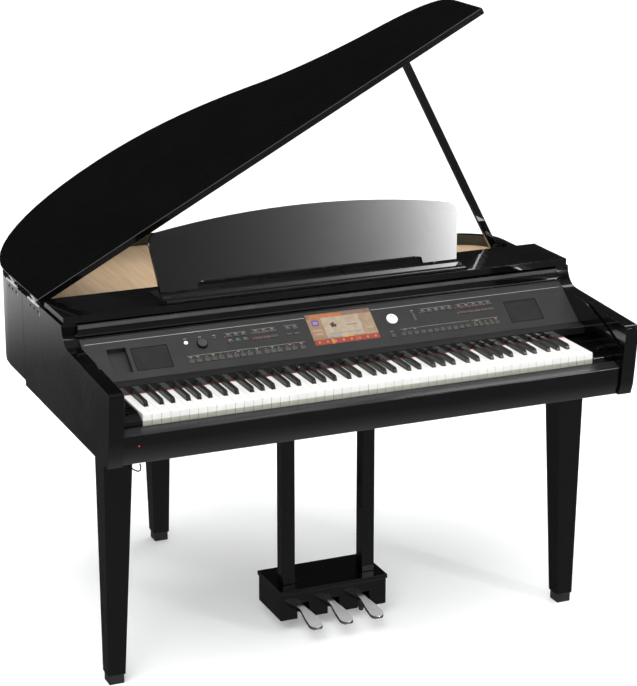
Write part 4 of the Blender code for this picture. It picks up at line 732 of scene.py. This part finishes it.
# The key cover slides out of the case over the keys. It is a thin curved
# lacquered board, with a satin grey strip let into its front edge.
rounded("key_cover", 0.0012, [lacquer], segments=3)
lip_grey = finish("satin grey trim", (0.050, 0.052, 0.050), (0.066, 0.068, 0.066), 0.34, 0.44,
                  scale=25.0, fine=900.0, bump=0.05)
low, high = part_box("key_cover")
LIP_HALF = 0.6745
bm = bmesh.new()
add_block(bm, (at(-LIP_HALF, 0, 0).x, low.y - 0.0007, high.z - 0.0105),
          (at(LIP_HALF, 0, 0).x, low.y + 0.0003, high.z - 0.0012))
ease(piece_of("cover_lip_strip", bm, [lip_grey], "key_cover"), 0.0003)


# The lid is one board lacquered on both faces, hinged along the left side and
# held open by its prop. Its edges are rounded over.
rounded("lid", 0.0022, [lacquer], segments=4)


# Two hinges of polished steel join the lid to the left side, each held by
# three black screws. A small rubber pad between them keeps the lid off the case.
# The steel is a light, partly diffuse grey, a painted sheen that keeps it silver; the flats of the
# leaves take the black lacquer as a painted dark reflection.
polished = finish("polished hinge steel", (0.78, 0.78, 0.77), (0.84, 0.84, 0.83), 0.16, 0.24,
                  scale=70.0, fine=1400.0, bump=0.05, metallic=0.35)


def leaf_part(face):
    """1 on the flat of a leaf, given the black lacquer as a painted dark reflection."""
    return 1 if face.calc_area() > 0.0008 and abs(face.normal.y) < 0.1 else 0


for leaf in ("fixed_front", "fixed_rear", "moving_front", "moving_rear"):
    rounded("hinge_leaf_" + leaf, 0.0003, [polished, lacquer], leaf_part)
bm = bmesh.new()
outwards = Matrix.Rotation(math.radians(-90), 4, "Y")
for middle in (0.542, 0.742):
    for step in (-0.034, 0.0, 0.034):
        add_screw(bm, 0.0036, Matrix.Translation(at(-0.7155, middle + step, 0.897)) @ outwards)
piece_of("hinge_screws", bm, [black_metal], "case")
rubber = finish("black rubber", (0.012, 0.012, 0.012), (0.020, 0.020, 0.020), 0.6, 0.75,
                scale=60.0, fine=900.0, bump=0.2)
bm = bmesh.new()
add_block(bm, at(-0.7172, 0.592, 0.9085), at(-0.7138, 0.612, 0.9135))
ease(piece_of("lid_pads", bm, [rubber], "case"), 0.0008)


# A long and a short prop of lacquered wood fold on a steel bracket inside the
# right side; the short one holds the lid half open.
for stick in ("lid_prop", "short_prop"):
    rounded(stick, 0.0022, [lacquer], segments=3)
rounded("prop_bracket", 0.0008, [black_metal])


# The music rest is a lacquered board that leans back on a wire stay. It stands
# in a shallow tray between two thin lips, which lean back with it, and a dark
# strip closes the upper edge of the notch in its foot.
rounded("music_rest", 0.0030, [lacquer], segments=4)
rounded("rest_stay", 0, [black_metal])
rounded("music_ledge", 0.0008, [gloss_plastic], segments=3)
REST_LEAN = math.radians(15)
bm = bmesh.new()
# The taller lip behind also widens towards its upper edge.
for y, z, height, half, flare in ((0.3632, 0.9328, 0.0098, 0.399, 0.0098),
                                  (0.3462, 0.9288, 0.0042, 0.420, 0.0)):
    made = add_block(bm, at(-half, y, z), at(half, y + 0.0016, z + height))
    for vert in made["verts"]:
        if vert.co.z > z + height / 2:
            vert.co.y += height * math.tan(REST_LEAN)
            vert.co.x += math.copysign(flare, vert.co.x)
ease(piece_of("tray_lips", bm, [lacquer], "case"), 0.0004)
bm = bmesh.new()
board = Matrix.Translation(at(0.0, 0.402, 0.9405)) @ Matrix.Rotation(-REST_LEAN, 4, "X")
add_block(bm, (-0.300, 0.0006, 0.0162), (0.300, 0.0114, 0.0199), board)
ease(piece_of("notch_strip", bm, [matt_black], "music_rest"), 0.0006)


# Three tapered square legs, lacquered like the case and bolted under the key
# bed and the rim, stand on short feet of dark plastic.
FOOT_TOP = 0.0252
foot_black = finish("foot plastic", (0.012, 0.012, 0.012), (0.018, 0.018, 0.018), 0.4, 0.5,
                    scale=40.0, fine=800.0, bump=0.1)


def leg_part(face):
    """1 on the foot under a leg."""
    return 1 if face.calc_center_median().z < FOOT_TOP else 0


for leg in ("leg_front_left", "leg_front_right", "leg_rear"):
    rounded(leg, 0.0014, [lacquer, foot_black], leg_part, segments=3)


# The lyre: two lacquered posts carry the pedal box, which is closed by a cap.
# A black screw under the box can be turned down to the floor.
for part in ("lyre_post_left", "lyre_post_right", "pedal_box", "pedal_box_cap"):
    rounded(part, 0.0014, [lacquer], segments=3)
steel = finish("turned steel", (0.42, 0.42, 0.43), (0.52, 0.52, 0.53), 0.25, 0.38,
               scale=80.0, fine=900.0, bump=0.08, metallic=1.0)
rounded("pedal_axle", 0, [steel])
rounded("pedal_adjuster", 0.0008, [rubber])


# Three nickel-plated pedals with rounded tips, bright on top. Their edges take a
# darker copy of the nickel, a painted dark reflection.
nickel = finish("bright nickel", (0.90, 0.90, 0.89), (0.92, 0.92, 0.91), 0.10, 0.15,
                scale=14.0, fine=1800.0, bump=0.01, metallic=0.42)
# A darker copy of the nickel for the pedals' edges: painted dark reflection.
nickel_dark_reflection = finish("nickel edges", (0.50, 0.50, 0.50), (0.58, 0.58, 0.58), 0.12, 0.18,
                     scale=14.0, fine=1800.0, bump=0.01, metallic=1.0)


def pedal_part(face):
    """1 round the edges of a pedal, where the dark reflection is painted."""
    return 1 if abs(face.normal.z) < 0.5 else 0


for pedal in ("pedal_left", "pedal_middle", "pedal_right"):
    rounded(pedal, 0.0022, [nickel, nickel_dark_reflection], pedal_part, segments=4)


# Two large loudspeakers face down through the bottom board. Each has a pressed
# frame, a rubber surround, a paper cone and a dust cap.
def spin_profile(bm, points, place, steps=48):
    """A closed shell of revolution from (radius, height) points."""
    verts = [bm.verts.new((radius, 0.0, height)) for radius, height in points]
    edges = [bm.edges.new(pair) for pair in zip(verts, verts[1:])]
    bmesh.ops.spin(bm, geom=verts + edges, cent=(0, 0, 0), axis=(0, 0, 1), angle=math.tau,
                   steps=steps, use_merge=True)
    bmesh.ops.remove_doubles(bm, verts=bm.verts, dist=SAME_POINT)
    bmesh.ops.transform(bm, matrix=place, verts=bm.verts)


for side in ("left", "right"):
    low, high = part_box(side + "_woofer")
    centre = (low + high) / 2
    spot = Matrix.Translation((centre.x, centre.y, low.z))
    outer = (high.x - low.x) / 2
    bm = bmesh.new()
    spin_profile(bm, [(0.0, 0.0655), (0.036, 0.0655), (0.036, 0.044), (0.045, 0.040),
                      (0.060, 0.014), (outer - 0.001, 0.004), (outer - 0.001, 0.0003),
                      (outer - 0.010, 0.0003), (outer - 0.012, 0.003), (0.0, 0.003)], spot)
    basket = piece_of(side + "_woofer_frame", bm, [black_metal], "case")
    bm = bmesh.new()
    spin_profile(bm, [(0.0, 0.0042), (0.012, 0.0040), (0.019, 0.0034), (0.0205, 0.0032),
                      (0.050, 0.0028), (0.053, 0.0014), (0.057, 0.0008), (0.061, 0.0020),
                      (0.062, 0.0034)], spot)
    piece_of(side + "_woofer_cone", bm, [cone_black], "case", angle=50)
    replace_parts(basket, side + "_woofer")


# The power supply is a folded steel case inside the piano. The headphone hanger
# is a bent rod of blackened steel, screwed under the key bed.
rounded("power_supply", 0.0010, [steel])
rounded("headphone_hanger", 0, [black_metal])


# The studio's floor is a pale matt sheet. It glows a little, so that it stays
# white all round, and the lacquer mirrors the world below instead of it.
def stage_piece(name, bm, material, unseen_by):
    """Part of the studio, not of the piano, that some kinds of ray don't see."""
    mesh = bpy.data.meshes.new(name)
    bm.to_mesh(mesh)
    bm.free()
    mesh.materials.append(material)
    thing = put(name, mesh)
    for kind in unseen_by:
        setattr(thing, "visible_" + kind, False)


floor_white = bpy.data.materials.new("pale floor")
floor_white.use_nodes = True
surface = floor_white.node_tree.nodes["Principled BSDF"]
surface.inputs["Base Color"].default_value = (0.92, 0.92, 0.92, 1)
surface.inputs["Roughness"].default_value = 0.9
surface.inputs["Specular IOR Level"].default_value = 0.0
surface.inputs["Emission Color"].default_value = (1, 1, 1, 1)
surface.inputs["Emission Strength"].default_value = 0.22
bm = bmesh.new()
bmesh.ops.create_grid(bm, x_segments=1, y_segments=1, size=40.0)
stage_piece("floor", bm, floor_white, ["glossy"])


# The room gives an even light, but the lacquer mirrors a darker one: a dim
# floor in front with a bright far edge, and a room that is lit only overhead.
world = bpy.data.worlds.new("studio")
bpy.context.scene.world = world
world.use_nodes = True
tree = world.node_tree
air = tree.nodes["Background"]
air.inputs["Strength"].default_value = 0.55
air.inputs["Color"].default_value = (0.97, 0.985, 1.0, 1)
seen = add(tree, "Background", Strength=1.0)
where = add(tree, "TexCoord")
split = add(tree, "SeparateXYZ")
# Below the horizon: dim in front, darker behind, with a bright far floor.
near = add(tree, "MapRange", From_Min=-0.9, From_Max=0.6, To_Min=0.20, To_Max=0.05)
far = add(tree, "MapRange", interpolation_type="SMOOTHSTEP", From_Min=-0.305, From_Max=-0.25,
          To_Max=0.8)
behind = add(tree, "MapRange", From_Min=0.0, From_Max=0.5)
# Above it: a dark room that brightens only overhead.
room = add(tree, "MapRange", From_Min=0.7, From_Max=1.0, To_Min=0.018, To_Max=0.3)
above = add(tree, "MapRange", interpolation_type="SMOOTHSTEP", From_Min=-0.12, From_Max=0.03)
glow = add(tree, "Math", operation="MULTIPLY")
low = add(tree, "Math", operation="ADD")
# Straight down, the pale floor under the piano.
floor_glow = add(tree, "MapRange", From_Min=-0.95, From_Max=-0.6, To_Min=0.7, To_Max=0.0)
under = add(tree, "Math", operation="ADD")
both = add(tree, "Mix", data_type="FLOAT")
tree.links.new(where.outputs["Generated"], split.inputs["Vector"])
for ranged, axis in ((near, "Y"), (behind, "Y"), (far, "Z"), (floor_glow, "Z"), (room, "Z"),
                     (above, "Z")):
    tree.links.new(split.outputs[axis], ranged.inputs["Value"])
tree.links.new(far.outputs["Result"], glow.inputs[0])
tree.links.new(behind.outputs["Result"], glow.inputs[1])
tree.links.new(near.outputs["Result"], low.inputs[0])
tree.links.new(glow.outputs["Value"], low.inputs[1])
tree.links.new(above.outputs["Result"], both.inputs[0])
tree.links.new(low.outputs["Value"], under.inputs[0])
tree.links.new(floor_glow.outputs["Result"], under.inputs[1])
tree.links.new(under.outputs["Value"], both.inputs[VALUE_A])
tree.links.new(room.outputs["Result"], both.inputs[VALUE_B])
tree.links.new(both.outputs[MIXED_VALUE], seen.inputs["Color"])
path = add(tree, "LightPath")
either = add(tree, "MixShader")
tree.links.new(path.outputs["Is Glossy Ray"], either.inputs["Fac"])
tree.links.new(air.outputs["Background"], either.inputs[1])
tree.links.new(seen.outputs["Background"], either.inputs[2])
tree.links.new(either.outputs["Shader"], tree.nodes["World Output"].inputs["Surface"])


# A broad soft light from the front left, and softboxes above, behind and under
# the lid. Those that would show as hard patches in the lacquer are hidden in it.
def aim(thing, place, target):
    """Puts a light at a place and turns it towards a target."""
    turn = (Vector(target) - Vector(place)).to_track_quat("-Z", "Y").to_matrix().to_4x4()
    thing.matrix_world = Matrix.Translation(place) @ turn


def softbox(name, place, target, width, height, watts):
    """A flat light of a given width and height."""
    box = bpy.data.lights.new(name, "AREA")
    box.shape = "RECTANGLE"
    box.size = width
    box.size_y = height
    box.energy = watts
    thing = put(name, box)
    aim(thing, place, target)
    return thing


sky = bpy.data.lights.new("broad light", "SUN")
sky.energy = 1.9
sky.angle = math.radians(50)
aim(put("broad light", sky), (-1.5, -1.6, 4.0), (0, 0, 0))
for name, place, target, width, height, watts, mirrored in (
        ("front softbox", (-2.4, -3.2, 3.6), (0, 0, 0.8), 1.8, 1.8, 45.0, False),
        ("rear softbox", (2.2, 1.85, 3.8), (0.5, -0.5, 0.75), 2.1, 1.1, 20.0, True),
        ("edge light", (0.5, -1.5, 3.6), (-0.1, -0.5, 0.8), 3.0, 0.35, 8.0, True),
        ("top softbox", (0.4, 0.3, 4.2), (0.0, 0.0, 0.9), 2.6, 2.6, 60.0, False),
        ("light under the lid", (-0.27, 0.17, 1.02), (-0.27, 0.17, 0.5), 0.5, 0.5, 1.0, False)):
    light = softbox(name, place, target, width, height, watts)
    light.visible_camera = mirrored
    light.visible_glossy = mirrored


# A tall card to the right whose light falls off to its left, so that the
# lacquer of the music rest shows a long soft gradient.
card_light = bpy.data.materials.new("card light")
card_light.use_nodes = True
tree = card_light.node_tree
tree.nodes.clear()
shine = add(tree, "Emission")
end = add(tree, "OutputMaterial")
where = add(tree, "TexCoord")
split = add(tree, "SeparateXYZ")
# Strength is 0.35 x 83 ^ (t ^ 1.5), where t runs from 0 to 1 across the card.
across = add(tree, "MapRange", From_Min=1.0, From_Max=2.8)
late = add(tree, "Math", operation="POWER")
late.inputs[1].default_value = 1.5
power = add(tree, "Math", operation="POWER")
power.inputs[0].default_value = 83.0
scaled = add(tree, "Math", operation="MULTIPLY")
scaled.inputs[1].default_value = 0.35
tree.links.new(where.outputs["Object"], split.inputs["Vector"])
tree.links.new(split.outputs["X"], across.inputs["Value"])
tree.links.new(across.outputs["Result"], late.inputs[0])
tree.links.new(late.outputs["Value"], power.inputs[1])
tree.links.new(power.outputs["Value"], scaled.inputs[0])
tree.links.new(scaled.outputs["Value"], shine.inputs["Strength"])
tree.links.new(shine.outputs["Emission"], end.inputs["Surface"])
bm = bmesh.new()
add_block(bm, at(0.9, -4.02, 1.5), at(3.1, -4.0, 3.0))
stage_piece("card", bm, card_light, ["camera", "shadow"])


# The camera stands where the photograph's stood. Its turn, its focal length and
# the middle of its picture come from the straight edges of the photograph.
PHOTO_WIDTH, PHOTO_HEIGHT = 637, 686   # pixels, as the next two
FOCAL_LENGTH = 2175.83
MIDDLE_X, MIDDLE_Y = 287.37, 322.36
camera = bpy.data.cameras.new("camera")
viewer = put("camera", camera)
yaw, pitch, roll = math.radians(22.71), math.radians(-16.66), math.radians(-0.22)
ahead = Vector((math.sin(yaw) * math.cos(pitch), math.cos(yaw) * math.cos(pitch),
                math.sin(pitch)))
level_right = Vector((math.cos(yaw), -math.sin(yaw), 0.0))
level_up = level_right.cross(ahead)
right = level_right * math.cos(roll) + level_up * math.sin(roll)
up = level_up * math.cos(roll) - level_right * math.sin(roll)
viewer.matrix_world = (Matrix.Translation(at(-2.18051, -4.63555, 2.45518))
                       @ Matrix((right, up, -ahead)).transposed().to_4x4())
camera.sensor_fit = "HORIZONTAL"
camera.sensor_width = 36.0
camera.lens = FOCAL_LENGTH / PHOTO_WIDTH * camera.sensor_width
camera.shift_x = (PHOTO_WIDTH / 2 - MIDDLE_X) / PHOTO_WIDTH
camera.shift_y = (MIDDLE_Y - PHOTO_HEIGHT / 2) / PHOTO_WIDTH
camera.clip_end = 100.0
bpy.context.scene.camera = viewer
bpy.context.scene.view_settings.view_transform = "Standard"
